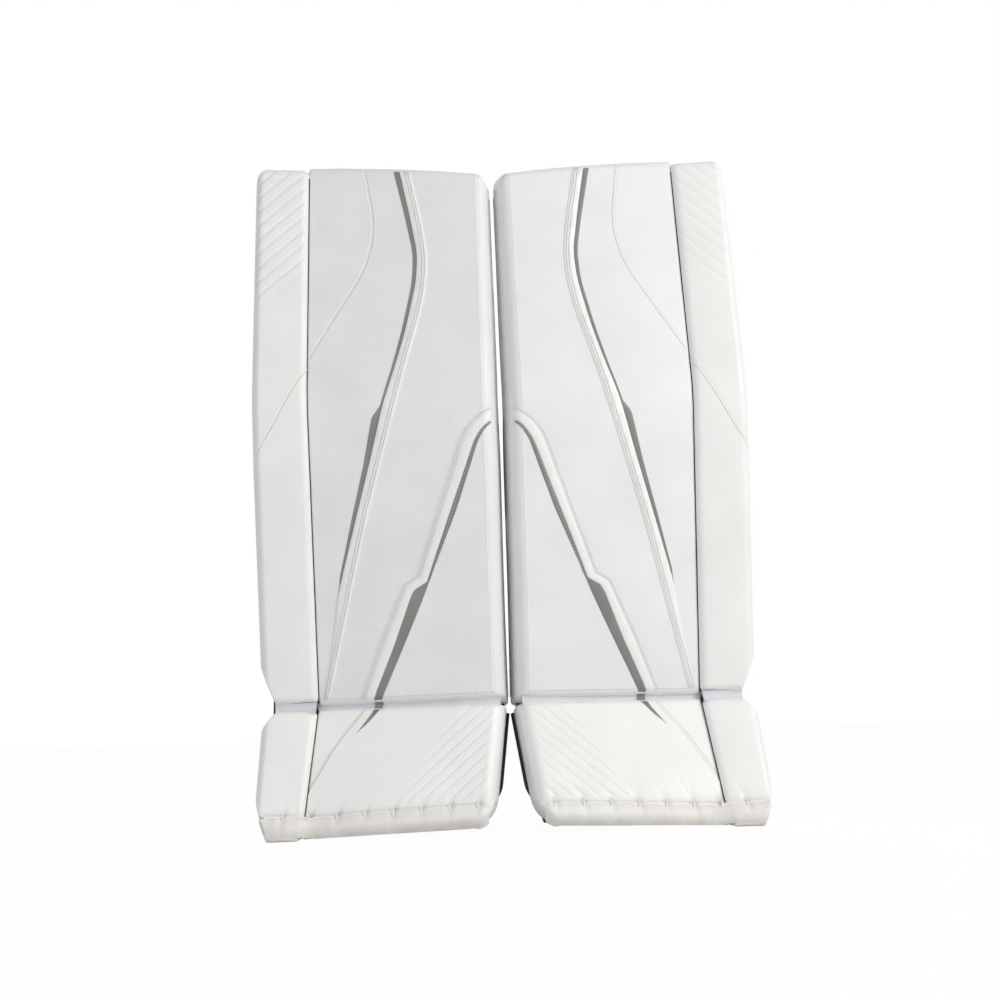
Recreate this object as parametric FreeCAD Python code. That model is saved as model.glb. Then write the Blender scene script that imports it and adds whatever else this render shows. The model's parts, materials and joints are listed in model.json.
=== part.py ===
"""A pair of ice hockey goalkeeper's leg pads, standing on their boots, in millimetres.

Each pad has three padded sections that flex on each other: the boot over the skate, the shin and the
thigh rise. A raised roll runs down the outer side. Behind the shin sits the leg channel, with a wedge
and a knee stack on the inner side, and wings on the outer side that straps pull round the leg.

A pad is modelled in its own frame, for the left leg: X across it towards the outer side, Y from the
face towards the leg, Z up, with the floor at 0. The right pad is its mirror image.
"""

import FreeCAD
import Part
import math
import os

# ---- overall sizes of one pad ----
PAD_WIDTH = 279.0
ROLL_WIDTH = 64.5
ROLL_RISE = 12.0
TOP_HEIGHT = 792.0
KNEE_HEIGHT = 505.0
BREAK_HEIGHT = 151.0
SHIN_THICKNESS = 56.0
THIGH_TOP_THICKNESS = 44.0
BOOT_THICKNESS = 50.0
THIGH_TILT = 15.0
BOOT_TILT = 22.8

# ---- the outline seen from the front ----
OUTLINE_LEAN = 0.9
THIGH_TAPER_INNER = 3.0
THIGH_TAPER_OUTER = 4.0
BOOT_SPLAY = 4.5
BOOT_TAPER_OUTER = 6.0
TOP_SLANT = 4.7
SOLE_SLANT = 3.0
BAND_HEIGHT = 22.0
FACE_EDGE_RADIUS = 13.0
ROLL_EDGE_RADIUS = 12.0
TOE_RADIUS = 26.0
TOP_CORNER_RADIUS = 13.0
SOLE_CORNER_RADIUS = 20.0
NOTCH_WIDTH = 16.0
SHIN_NOTCH_HEIGHT = 46.0
BOOT_NOTCH_HEIGHT = 20.0

# ---- layers ----
COVER = 2.0
BACK_PANEL = 3.0
PANEL_INSET = 3.0
LINER_THICKNESS = 12.0

# ---- the two lines where a pad flexes ----
FLEX_GAP = 0.6
HINGE_DEPTH = 26.0
BEAD_RADIUS = 6.0
RUNNING_GAP = 0.4
BREAK_CLOSES = 12.0
BREAK_OPENS = 1.5
KNEE_TIPS_BACK = 8.0
KNEE_TIPS_FORWARD = 5.0
FLEX_SPARE = 1.5

# ---- the inner side of the leg channel ----
WEDGE_INNER_X = -118.0
WEDGE_WIDTH = 36.0
WEDGE_DEPTH = 54.0
WEDGE_BOTTOM = BREAK_HEIGHT + 17.0
WEDGE_TOP_DROP = 155.0
WEDGE_TOP = KNEE_HEIGHT - WEDGE_TOP_DROP
STACK_INNER_X = -126.0
STACK_WIDTH = 66.0
STACK_DEPTH = 57.0
STACK_LAYERS = 3
STACK_BOTTOM_DROP = 141.0
STACK_BOTTOM = KNEE_HEIGHT - STACK_BOTTOM_DROP
STACK_TOP = KNEE_HEIGHT - 21.0
BOOT_CHANNEL_BACK = 46.0
BOOT_WEDGE_INNER_X = -112.0
BOOT_WEDGE_WIDTH = 34.0
BOOT_WEDGE_DEPTH = 62.0
BOOT_WEDGE_TOP = 118.0
BOOT_WEDGE_RISE = 12.0
BOOT_WEDGE_FOOT = 10.0
BLOCK_RADIUS = 9.0
LINER_OUTER_X = 96.0
LINER_TOP = KNEE_HEIGHT - 27.0
LINER_CORNER_RADIUS = 8.0

# ---- the wings on the outer side, and the straps that close them ----
WING_HINGE_X = 116.0
WING_THICKNESS = 12.0
WING_BEND_RADIUS = 32.0
WING_TIP_X = 40.0
CALF_WING_BOTTOM = BREAK_HEIGHT + 25.0
CALF_WING_DROP = 159.0
CALF_WING_TOP = KNEE_HEIGHT - CALF_WING_DROP
KNEE_WING_BOTTOM = KNEE_HEIGHT - 137.0
KNEE_WING_TOP = KNEE_HEIGHT - 29.0
BOOT_FLAP_BOTTOM = 16.0
BOOT_FLAP_TOP = 110.0
STRAP_TILT = 14.2
BOOT_STRAP_TILT = 8.0
STRAP_THICKNESS = 2.4
STRAP_BEAD_RADIUS = 2.2
STRAP_HINGE_X = 58.0
STRAP_TAB_LENGTH = 18.0
STRAP_END_INSET = 6.0
CALF_STRAP_WIDTH = 38.0
LOWER_CALF_STRAP_Z = 216.0
UPPER_STRAP_DROP = 201.0
UPPER_CALF_STRAP_Z = KNEE_HEIGHT - UPPER_STRAP_DROP
KNEE_STRAP_WIDTH = 50.0
KNEE_STRAP_Z = KNEE_HEIGHT - 81.0
BOOT_STRAP_WIDTH = 38.0
BOOT_STRAP_Z = 66.0
THIGH_STRAP_WIDTH = 38.0
THIGH_STRAP_Z = 46.0
THIGH_STRAP_REACH = 66.0
THIGH_STRAP_SIDE_X = -84.0
THIGH_STRAP_END_X = -124.0
THIGH_STRAP_HINGE_X = 112.0
THIGH_STRAP_BEND_RADIUS = 34.0
THIGH_STRAP_FOOT_RADIUS = 5.0

# ---- the toe: binding, bridge plate, eyelets and strap ----
WELT_RADIUS = 1.8
TACK_COUNT = 9
TACK_WIDTH = 2.6
TACK_HEIGHT = 9.0
TACK_THICKNESS = 1.6
TACK_CLEARANCE = 0.2
BRIDGE_WIDTH = 84.0
BRIDGE_THICKNESS = 3.0
BRIDGE_HEIGHT = 40.0
BRIDGE_LIP = 30.0
BRIDGE_LIP_Z = 26.0
EYELET_BORE_RADIUS = 4.0
EYELET_WALL = 1.5
EYELET_FLANGE_RADIUS = 8.0
EYELET_FLANGE = 1.0
EYELET_SPACING = 48.0
RIVET_RADIUS = 4.5
RIVET_HEAD = 1.6
RIVET_SPACING = 60.0
TOE_STRAP_WIDTH = 25.0
TOE_STRAP_LENGTH = 118.0
TOE_STRAP_THICKNESS = 2.4
TOE_STRAP_BEAD_RADIUS = 3.0
TOE_STRAP_Z = 7.0

# ---- how the pair stands ----
LEFT_YAW = 11.0
RIGHT_YAW = 7.0
STANDING_GAP = 7.8

# ---- a size past any surface, for cutters ----
FAR = 1000.0

V = FreeCAD.Vector
INNER_X = -PAD_WIDTH / 2
OUTER_X = PAD_WIDTH / 2
SEAM_X = OUTER_X - ROLL_WIDTH
SHIN_BACK = SHIN_THICKNESS + BACK_PANEL
BOOT_BACK = BOOT_THICKNESS + BACK_PANEL


def radians(degrees):
    return math.radians(degrees)


def tan(degrees):
    return math.tan(radians(degrees))


# ---- drawing: closed outlines with rounded corners, and prisms of them ----
def rounded_wire(corners, to_space):
    """A closed wire through (u, v, radius) corners, put in space by to_space(u, v)."""
    count = len(corners)
    starts, middles, ends = [], [], []
    for i, (u, v, radius) in enumerate(corners):
        before, after = corners[i - 1], corners[(i + 1) % count]
        here = V(u, v, 0)
        back = (V(before[0], before[1], 0) - here).normalize()
        on = (V(after[0], after[1], 0) - here).normalize()
        half = back.getAngle(on) / 2
        reach = radius / math.tan(half) if radius else 0
        starts.append(here + back * reach)
        ends.append(here + on * reach)
        inwards = (back + on).normalize() if radius else V(0, 0, 0)
        middles.append(here + inwards * (radius / math.sin(half) - radius) if radius else here)
    edges = []
    for i, corner in enumerate(corners):
        if corner[2]:
            edges.append(Part.Arc(*(to_space(p.x, p.y) for p in (starts[i], middles[i], ends[i]))).toShape())
        following = starts[(i + 1) % count]
        if (following - ends[i]).Length > 1e-6:
            edges.append(Part.makeLine(to_space(ends[i].x, ends[i].y), to_space(following.x, following.y)))
    return Part.Wire(edges)


def side_prism(corners, x_from, x_to):
    """A (y, z) outline, seen from the side, drawn out along X."""
    face = Part.Face(rounded_wire(corners, lambda y, z: V(x_from, y, z)))
    return face.extrude(V(x_to - x_from, 0, 0))


def front_prism(corners, y_from, y_to):
    """An (x, z) outline, seen from the front, drawn out along Y."""
    face = Part.Face(rounded_wire(corners, lambda x, z: V(x, y_from, z)))
    return face.extrude(V(0, y_to - y_from, 0))


def plan_prism(corners, z_from, z_to):
    """An (x, y) outline, seen from above, drawn out along Z."""
    face = Part.Face(rounded_wire(corners, lambda x, y: V(x, y, z_from)))
    return face.extrude(V(0, 0, z_to - z_from))


def sharp(points):
    return [(u, v, 0) for u, v in points]


def solids_of(*shapes):
    """One compound of every solid in the shapes."""
    return Part.makeCompound([solid for shape in shapes for solid in shape.Solids])


def fillet(shape, radius, chosen):
    """Rounds the edges whose two ends chosen(end, other_end) accepts."""
    edges = []
    for edge in shape.Edges:
        if len(edge.Vertexes) == 2 and chosen(edge.Vertexes[0].Point, edge.Vertexes[1].Point):
            edges.append(edge)
    return shape.makeFillet(radius, edges) if edges else shape


def thigh_placed(shape):
    """Takes a shape drawn in the thigh's own frame, from y = 0, z = 0, to its place on the tilted thigh."""
    placed = shape.copy()
    placed.rotate(V(0, 0, 0), V(1, 0, 0), -THIGH_TILT)
    placed.translate(V(0, 0, KNEE_HEIGHT))
    return placed


# ---- the flex lines ----
class FlexLine:
    """Where two sections meet: a mitre through the face, with a hinge bead inside and V gaps to move in."""

    def __init__(self, height, turn, closes_front, closes_back):
        half = radians(turn / 2)
        self.along = V(0, math.cos(half), -math.sin(half))
        self.up = V(0, math.sin(half), math.cos(half))
        self.hinge = V(0, 0, height) + self.along * HINGE_DEPTH
        self.front_angle = (closes_front + FLEX_SPARE) / 2
        self.back_angle = (closes_back + FLEX_SPARE) / 2

    def beyond(self, sign, margin):
        """All that a section loses past this line: sign +1 cuts a section above it, -1 one below."""
        up = self.up * sign
        lift = FLEX_GAP + margin
        corners = [
            self.hinge - self.along * FAR + up * (FAR * tan(self.front_angle) + lift),
            self.hinge + up * lift,
            self.hinge + self.along * FAR + up * (FAR * tan(self.back_angle) + lift),
            self.hinge + self.along * FAR - up * FAR,
            self.hinge - self.along * FAR - up * FAR,
        ]
        return side_prism(sharp([(p.y, p.z) for p in corners]), -FAR, FAR)

    def rod(self, radius, x_from=-FAR, x_to=FAR):
        start = V(x_from, self.hinge.y, self.hinge.z)
        return Part.makeCylinder(radius, x_to - x_from, start, V(1, 0, 0))


KNEE = FlexLine(KNEE_HEIGHT, THIGH_TILT, KNEE_TIPS_FORWARD, KNEE_TIPS_BACK)
BREAK = FlexLine(BREAK_HEIGHT, BOOT_TILT, BREAK_CLOSES, BREAK_OPENS)


# ---- the padded sections: each one's tilt, and the height where its face leaves the line y = 0 ----
SECTIONS = {"thigh": (THIGH_TILT, KNEE_HEIGHT), "shin": (0.0, KNEE_HEIGHT), "boot": (BOOT_TILT, BREAK_HEIGHT)}


def lean(z):
    return z * tan(OUTLINE_LEAN)


def splay(z):
    """How far the boot has moved outwards at a height below the break."""
    return lean(BREAK_HEIGHT) + (BREAK_HEIGHT - z) * tan(BOOT_SPLAY)


def top_z(x):
    return TOP_HEIGHT + x * tan(TOP_SLANT)


def sole_z(x):
    """The sole's height: it touches the floor by the boot's outer corner and rises towards the inner side."""
    touching_x = OUTER_X + splay(0) - BOOT_TAPER_OUTER - TOE_RADIUS
    return (touching_x - x) * tan(SOLE_SLANT)


def face_y(z, section, front=0.0):
    """The depth of a section's face at a height, or of a surface front millimetres behind it."""
    tilt, start_z = SECTIONS[section]
    return (z - start_z) * tan(tilt) + front / math.cos(radians(tilt))


def zone_sides(zone, inset):
    """The two x values, before lean and splay, between which a zone of the width lies."""
    if zone == "face":
        return INNER_X + inset, SEAM_X - inset
    return SEAM_X + inset, OUTER_X - inset


def side_outline(section, front, back_extra):
    """The (y, z) outline of a section, with its face moved back by front and its back moved by back_extra."""
    tilt, start_z = SECTIONS[section]
    up = V(0, math.sin(radians(tilt)), math.cos(radians(tilt)))
    out = V(0, up.z, -up.y)
    base = V(0, 0, start_z)
    back = back_extra + (BOOT_THICKNESS if section == "boot" else SHIN_THICKNESS)
    thinning = 0.0
    if section == "thigh":
        thinning = (SHIN_THICKNESS - THIGH_TOP_THICKNESS) * up.z / (TOP_HEIGHT - KNEE_HEIGHT)
    points = [
        base + out * front - up * FAR,
        base + out * (back + thinning * FAR) - up * FAR,
        base + out * (back - thinning * FAR) + up * FAR,
        base + out * front + up * FAR,
    ]
    return [(p.y, p.z) for p in points]


def front_outline(section, zone, inset):
    """The (x, z) outline of a zone of a section, running past its flex lines."""
    low, high = zone_sides(zone, inset)
    if section == "shin":
        bottom, top = 0.0, TOP_HEIGHT
        corners = [(low + lean(bottom), bottom, 0), (high + lean(bottom), bottom, 0)]
        corners += [(high + lean(top), top, 0), (low + lean(top), top, 0)]
        return corners
    if section == "thigh":
        bottom = BREAK_HEIGHT
        top_low, top_high = low + lean(TOP_HEIGHT), high + lean(TOP_HEIGHT)
        low_radius = high_radius = 0.0
        if zone == "face":
            top_low += THIGH_TAPER_INNER
            low_radius = TOP_CORNER_RADIUS - inset
        else:
            top_high -= THIGH_TAPER_OUTER
            high_radius = TOP_CORNER_RADIUS - inset
        return [
            (low + lean(bottom), bottom, 0),
            (high + lean(bottom), bottom, 0),
            (top_high, top_z(top_high) - inset, high_radius),
            (top_low, top_z(top_low) - inset, low_radius),
        ]
    top = BREAK_HEIGHT + HINGE_DEPTH
    low_bottom, high_bottom = low + splay(0), high + splay(0)
    low_radius = high_radius = 0.0
    if zone == "face":
        low_radius = SOLE_CORNER_RADIUS - inset
    else:
        high_bottom -= BOOT_TAPER_OUTER
        high_radius = TOE_RADIUS - inset
    return [
        (low_bottom, sole_z(low_bottom) + inset, low_radius),
        (high_bottom, sole_z(high_bottom) + inset, high_radius),
        (high + splay(top), top, 0),
        (low + splay(top), top, 0),
    ]


def flex_cutters(section, margin):
    cutters = []
    if section != "thigh":
        cutters.append(BREAK.beyond(1 if section == "shin" else -1, margin))
    if section != "boot":
        cutters.append(KNEE.beyond(1 if section == "thigh" else -1, margin))
    return cutters


def notch_cutter(section, inset):
    """The slanted ends of the outer roll on each side of the boot break, which leave a V at its edge."""
    z = BREAK_HEIGHT
    edge = OUTER_X + lean(z) - inset
    height = SHIN_NOTCH_HEIGHT if section == "shin" else -BOOT_NOTCH_HEIGHT
    corners = [(edge - NOTCH_WIDTH, z), (edge + NOTCH_WIDTH, z), (edge + NOTCH_WIDTH, z + height * 2)]
    return front_prism(sharp(corners), -FAR, FAR)


def long_edges(section, zone, front):
    """Picks the edges that run along the front of a section, so that they can be rounded."""

    def chosen(a, b):
        if abs(a.z - b.z) < PAD_WIDTH / 6:
            return False
        if zone == "face" and (a.x + b.x) / 2 > 0:
            return False
        return all(abs(p.y - face_y(p.z, section, front)) < RUNNING_GAP for p in (a, b))

    return chosen


def padded_block(section, zone, inset, back_extra):
    """The outer form of one zone of one section, or with an inset the form inside its cover."""
    front = inset if zone == "face" else inset - ROLL_RISE
    radius = (FACE_EDGE_RADIUS if zone == "face" else ROLL_EDGE_RADIUS) - inset
    block = side_prism(sharp(side_outline(section, front, back_extra)), -FAR, FAR)
    block = block.common(front_prism(front_outline(section, zone, inset), -FAR, FAR))
    block = fillet(block, radius, long_edges(section, zone, front))
    for cutter in flex_cutters(section, inset):
        block = block.cut(cutter)
    if zone == "roll" and section != "thigh":
        block = block.cut(notch_cutter(section, inset))
    return block


def welt_cutter(sign, margin=0.0):
    """Everything above (+1) or below (-1) the plane of the toe's welt, which is parallel to the sole."""
    z_inner, z_outer = sole_z(-FAR) + BAND_HEIGHT + margin, sole_z(FAR) + BAND_HEIGHT + margin
    corners = [(-FAR, z_inner), (FAR, z_outer), (FAR, sign * 2 * FAR), (-FAR, sign * 2 * FAR)]
    return front_prism(sharp(corners), -FAR, FAR)


def cover_and_foam(section, zone):
    """The sewn cover of a zone, open at the back, and the foam that fills it."""
    outer = padded_block(section, zone, 0.0, 0.0)
    inner = padded_block(section, zone, COVER, FAR)
    return outer.cut(inner), outer.common(inner)


def back_panel(section):
    """The nylon panel that closes a section's back, across both zones."""
    slab = side_prism(sharp(side_outline(section, 0.0, BACK_PANEL)), -FAR, FAR)
    slab = slab.cut(side_prism(sharp(side_outline(section, -FAR, 0.0)), -FAR, FAR))
    face = front_outline(section, "face", PANEL_INSET)
    roll = front_outline(section, "roll", PANEL_INSET)
    outline = [face[0], roll[1], roll[2], face[3]]
    panel = slab.common(front_prism(outline, -FAR, FAR))
    for cutter in flex_cutters(section, PANEL_INSET):
        panel = panel.cut(cutter)
    return panel


def flex_beads():
    """The round foam welts inside the two flex lines, sewn to the shin."""
    beads = []
    for line in (BREAK, KNEE):
        z = line.hinge.z
        inner = INNER_X + lean(z) + FACE_EDGE_RADIUS
        outer = OUTER_X + lean(z) - NOTCH_WIDTH - COVER
        beads.append(line.rod(BEAD_RADIUS, inner, outer))
    return solids_of(*beads)


def sections():
    """The covers, foams, back panels and beads of all three sections, by node name."""
    made = {"flex_beads": flex_beads()}
    for section in ("thigh", "shin", "boot"):
        face_cover, face_foam = cover_and_foam(section, "face")
        roll_cover, roll_foam = cover_and_foam(section, "roll")
        pieces = {
            f"{section}_cover": face_cover,
            f"{section}_roll_cover": roll_cover,
            f"{section}_foam": solids_of(face_foam, roll_foam),
            f"{section}_back_panel": back_panel(section),
        }
        own = BEAD_RADIUS if section == "shin" else BEAD_RADIUS + RUNNING_GAP
        for name, shape in pieces.items():
            if section != "thigh":
                shape = shape.cut(BREAK.rod(own))
            if section != "boot":
                shape = shape.cut(KNEE.rod(own))
            made[name] = shape
    covers = [made["boot_cover"], made["boot_roll_cover"]]
    band = [cover.cut(welt_cutter(1)) for cover in covers]
    made["toe_band"] = solids_of(*band)
    made["boot_cover"], made["boot_roll_cover"] = (cover.cut(welt_cutter(-1)) for cover in covers)
    return made


# ---- the leg channel ----
def strap_line(x, inner_x, depth, back, slope=STRAP_TILT):
    """The y of the slanted line that an inner block's rear face, a wing's tip and a strap share."""
    return back + depth + (x - inner_x) * tan(slope)


def inner_block(inner_x, width, depth, back, z_from, z_to, slope=STRAP_TILT):
    """A foam block on the channel's inner side, its rear face slanted for the strap that lands on it."""
    outer_x = inner_x + width
    corners = [
        (inner_x, back, 0),
        (outer_x, back, 0),
        (outer_x, strap_line(outer_x, inner_x, depth, back, slope), BLOCK_RADIUS),
        (inner_x, strap_line(inner_x, inner_x, depth, back, slope), BLOCK_RADIUS),
    ]
    return plan_prism(corners, z_from, z_to)


def calf_wedge():
    return inner_block(WEDGE_INNER_X, WEDGE_WIDTH, WEDGE_DEPTH, SHIN_BACK, WEDGE_BOTTOM, WEDGE_TOP)


def knee_stack():
    """Foam layers one behind the other, under the inner side of the knee."""
    whole = inner_block(STACK_INNER_X, STACK_WIDTH, STACK_DEPTH, SHIN_BACK, STACK_BOTTOM, STACK_TOP)
    layer = STACK_DEPTH / STACK_LAYERS
    layers = []
    for i in range(STACK_LAYERS):
        deep = FAR if i == STACK_LAYERS - 1 else layer
        box = Part.makeBox(2 * FAR, deep, STACK_TOP, V(-FAR, SHIN_BACK + i * layer, 0))
        layers.append(whole.common(box))
    return solids_of(*layers)


def channel_liner():
    """The soft pad that the shin rests against, cut round the wedge and the knee stack."""
    wedge_side = WEDGE_INNER_X + WEDGE_WIDTH + RUNNING_GAP
    stack_side = STACK_INNER_X + STACK_WIDTH + RUNNING_GAP
    step = STACK_BOTTOM - RUNNING_GAP
    corners = [
        (wedge_side, WEDGE_BOTTOM, LINER_CORNER_RADIUS),
        (LINER_OUTER_X, WEDGE_BOTTOM, LINER_CORNER_RADIUS),
        (LINER_OUTER_X, LINER_TOP, LINER_CORNER_RADIUS),
        (stack_side, LINER_TOP, LINER_CORNER_RADIUS),
        (stack_side, step, 0),
        (wedge_side, step, 0),
    ]
    return front_prism(corners, SHIN_BACK, SHIN_BACK + LINER_THICKNESS)


def boot_wedges():
    """The two sides of the boot channel, behind the tilted boot. The inner one stands on its rear foot."""
    inner = inner_block(
        BOOT_WEDGE_INNER_X,
        BOOT_WEDGE_WIDTH,
        BOOT_WEDGE_DEPTH,
        BOOT_CHANNEL_BACK,
        0.0,
        BOOT_WEDGE_TOP,
        BOOT_STRAP_TILT,
    )
    foot_y = BOOT_CHANNEL_BACK + BOOT_WEDGE_DEPTH - BOOT_WEDGE_FOOT
    slope = BOOT_WEDGE_RISE / foot_y
    underside = [(foot_y, -FAR), (foot_y, 0.0), (foot_y - FAR, FAR * slope), (foot_y - FAR, -FAR)]
    half = WING_THICKNESS / 2
    filling = [(BOOT_WEDGE_INNER_X, BOOT_WEDGE_WIDTH, 0.0, BOOT_WEDGE_TOP)]
    filling.append((WING_HINGE_X - half, WING_THICKNESS, BOOT_FLAP_BOTTOM, BOOT_FLAP_TOP))
    blocks = []
    for x, width, bottom, top in filling:
        block = Part.makeBox(width, BOOT_CHANNEL_BACK + FAR, top - bottom, V(x, -FAR, bottom))
        blocks.append(block.cut(side_prism(sharp(side_outline("boot", -FAR, BACK_PANEL)), -FAR, FAR)))
    whole = blocks[0].fuse(inner).removeSplitter()
    return solids_of(whole.cut(side_prism(sharp(underside), -FAR, FAR)), blocks[1])


# ---- wings and straps ----
class Closure:
    """A wing on the outer side, and the line on which its straps cross to a block on the inner side."""

    def __init__(self, inner_x, depth, back, slope=STRAP_TILT):
        self.inner_x, self.depth, self.back, self.slope = inner_x, depth, back, slope
        self.hinge = V(WING_HINGE_X, back + WING_THICKNESS / 2 + RUNNING_GAP, 0)
        self.direction = V(math.cos(radians(slope)), math.sin(radians(slope)), 0)
        self.outwards = V(-self.direction.y, self.direction.x, 0)

    def on_line(self, x, off=0.0):
        """A point over the shared line, off millimetres behind it."""
        return V(x, strap_line(x, self.inner_x, self.depth, self.back, self.slope), 0) + self.outwards * off

    def strap_hinge(self):
        return self.on_line(STRAP_HINGE_X, RUNNING_GAP + STRAP_BEAD_RADIUS)

    def wing(self, z_from, z_to):
        """A padded flap that goes back from its hinge and turns in along the strap line."""
        half = WING_THICKNESS / 2
        outer_x, inner_x = WING_HINGE_X + half, WING_HINGE_X - half
        tip_out, tip_in = self.on_line(WING_TIP_X), self.on_line(WING_TIP_X, -WING_THICKNESS)
        corner_out = self.on_line(outer_x)
        corner_in = V(inner_x, self.on_line(inner_x, -WING_THICKNESS).y, 0)
        corners = [
            (outer_x, self.hinge.y, 0),
            (corner_out.x, corner_out.y, WING_BEND_RADIUS),
            (tip_out.x, tip_out.y, half * 0.8),
            (tip_in.x, tip_in.y, half * 0.8),
            (corner_in.x, corner_in.y, WING_BEND_RADIUS - WING_THICKNESS),
            (inner_x, self.hinge.y, 0),
        ]
        flap = plan_prism(corners, z_from, z_to)
        root = Part.makeCylinder(half, z_to - z_from, V(self.hinge.x, self.hinge.y, z_from))
        return flap.fuse(root).removeSplitter()

    def ribbon(self, x_from, x_to, off_from, off_to, z_middle, width):
        """A flat length of webbing along the line, between two distances behind it."""
        points = [self.on_line(x_from, off_from), self.on_line(x_to, off_from)]
        points += [self.on_line(x_to, off_to), self.on_line(x_from, off_to)]
        corners = sharp([(p.x, p.y) for p in points])
        return plan_prism(corners, z_middle - width / 2, z_middle + width / 2)

    def strap(self, z_middle, width):
        """A strap with a round fold at its hinge, reaching across to the inner block."""
        middle = RUNNING_GAP + STRAP_BEAD_RADIUS
        half = STRAP_THICKNESS / 2
        end_x = self.inner_x + STRAP_END_INSET
        flat = self.ribbon(end_x, STRAP_HINGE_X, middle - half, middle + half, z_middle, width)
        fold = Part.makeCylinder(STRAP_BEAD_RADIUS, width, self.strap_hinge() + V(0, 0, z_middle - width / 2))
        return flat.fuse(fold).removeSplitter()

    def anchor(self, z_middle, width):
        """The sewn tab on the wing that a strap's fold turns against."""
        start = STRAP_HINGE_X + STRAP_BEAD_RADIUS + RUNNING_GAP
        return self.ribbon(start, start + STRAP_TAB_LENGTH, 0, STRAP_THICKNESS, z_middle, width)


CALF = Closure(WEDGE_INNER_X, WEDGE_DEPTH, SHIN_BACK)
KNEE_CLOSURE = Closure(STACK_INNER_X, STACK_DEPTH, SHIN_BACK)
BOOT_CLOSURE = Closure(BOOT_WEDGE_INNER_X, BOOT_WEDGE_DEPTH, BOOT_CHANNEL_BACK, BOOT_STRAP_TILT)


def thigh_strap_hinge():
    """The thigh strap's hinge, in the thigh's own upright frame."""
    return V(THIGH_STRAP_HINGE_X, SHIN_BACK + RUNNING_GAP + STRAP_BEAD_RADIUS, 0)


def thigh_strap():
    """An elastic strap that arches over the back of the thigh and lands flat on the inner side."""
    hinge = thigh_strap_hinge()
    half = STRAP_THICKNESS / 2
    near, far = hinge.y - half, hinge.y + half
    reach = SHIN_BACK + THIGH_STRAP_REACH
    bend, foot = THIGH_STRAP_BEND_RADIUS, THIGH_STRAP_FOOT_RADIUS
    corners = [
        (hinge.x + half, hinge.y, 0),
        (hinge.x + half, reach + half, bend + half),
        (THIGH_STRAP_SIDE_X - half, reach + half, bend + half),
        (THIGH_STRAP_SIDE_X - half, far, foot - half),
        (THIGH_STRAP_END_X, far, 0),
        (THIGH_STRAP_END_X, near, 0),
        (THIGH_STRAP_SIDE_X + half, near, foot + half),
        (THIGH_STRAP_SIDE_X + half, reach - half, bend - half),
        (hinge.x - half, reach - half, bend - half),
        (hinge.x - half, hinge.y, 0),
    ]
    z_from = THIGH_STRAP_Z - THIGH_STRAP_WIDTH / 2
    band = plan_prism(corners, z_from, z_from + THIGH_STRAP_WIDTH)
    fold = Part.makeCylinder(STRAP_BEAD_RADIUS, THIGH_STRAP_WIDTH, hinge + V(0, 0, z_from))
    return thigh_placed(band.fuse(fold).removeSplitter())


def wings_and_straps():
    calf_straps = (LOWER_CALF_STRAP_Z, UPPER_CALF_STRAP_Z)
    calf_anchors = [CALF.anchor(z, CALF_STRAP_WIDTH) for z in calf_straps]
    return {
        "calf_wing": solids_of(CALF.wing(CALF_WING_BOTTOM, CALF_WING_TOP), *calf_anchors),
        "knee_wing": solids_of(
            KNEE_CLOSURE.wing(KNEE_WING_BOTTOM, KNEE_WING_TOP),
            KNEE_CLOSURE.anchor(KNEE_STRAP_Z, KNEE_STRAP_WIDTH),
        ),
        "boot_flap": solids_of(
            BOOT_CLOSURE.wing(BOOT_FLAP_BOTTOM, BOOT_FLAP_TOP),
            BOOT_CLOSURE.anchor(BOOT_STRAP_Z, BOOT_STRAP_WIDTH),
        ),
        "lower_calf_strap": CALF.strap(LOWER_CALF_STRAP_Z, CALF_STRAP_WIDTH),
        "upper_calf_strap": CALF.strap(UPPER_CALF_STRAP_Z, CALF_STRAP_WIDTH),
        "knee_strap": KNEE_CLOSURE.strap(KNEE_STRAP_Z, KNEE_STRAP_WIDTH),
        "boot_strap": BOOT_CLOSURE.strap(BOOT_STRAP_Z, BOOT_STRAP_WIDTH),
        "thigh_strap": thigh_strap(),
    }


# ---- the toe ----
def toe_binding():
    """The sewn welt across the toe, with the tacks that gather the band under it."""
    inner_x = INNER_X + FACE_EDGE_RADIUS
    outer_x = OUTER_X - ROLL_EDGE_RADIUS - BOOT_TAPER_OUTER
    pieces = []
    for x_from, x_to, rise in (
        (inner_x, SEAM_X - 2 * WELT_RADIUS, 0.0),
        (SEAM_X + 2 * WELT_RADIUS, outer_x, ROLL_RISE),
    ):
        ends = [welt_point(x, rise) for x in (x_from, x_to)]
        pieces.append(Part.makeCylinder(WELT_RADIUS, (ends[1] - ends[0]).Length, ends[0], ends[1] - ends[0]))
    pitch = (outer_x - inner_x - 2 * TACK_HEIGHT) / (TACK_COUNT - 1)
    for i in range(TACK_COUNT):
        x = inner_x + TACK_HEIGHT + i * pitch
        rise = 0.0 if x < SEAM_X else ROLL_RISE
        top = welt_point(x, rise) - V(0, 0, WELT_RADIUS + TACK_CLEARANCE)
        bottom_z = top.z - TACK_HEIGHT
        y = face_y(bottom_z, "boot", -rise) - TACK_THICKNESS - TACK_CLEARANCE
        corner = V(top.x - TACK_WIDTH / 2, y, bottom_z)
        pieces.append(Part.makeBox(TACK_WIDTH, TACK_THICKNESS, TACK_HEIGHT, corner))
    return solids_of(*pieces)


def welt_point(x, rise):
    """The middle of the welt's cord, standing just off the face, for an x across the upright pad."""
    z = sole_z(x + splay(0)) + BAND_HEIGHT
    return V(x + splay(z), face_y(z, "boot"), z) - boot_back_normal() * (rise + WELT_RADIUS + RUNNING_GAP / 2)


def boot_back_y(z):
    """The depth of the boot's back panel's rear surface at a height."""
    return face_y(z, "boot", BOOT_BACK)


def boot_back_normal():
    return V(0, math.cos(radians(BOOT_TILT)), -math.sin(radians(BOOT_TILT)))


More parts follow.
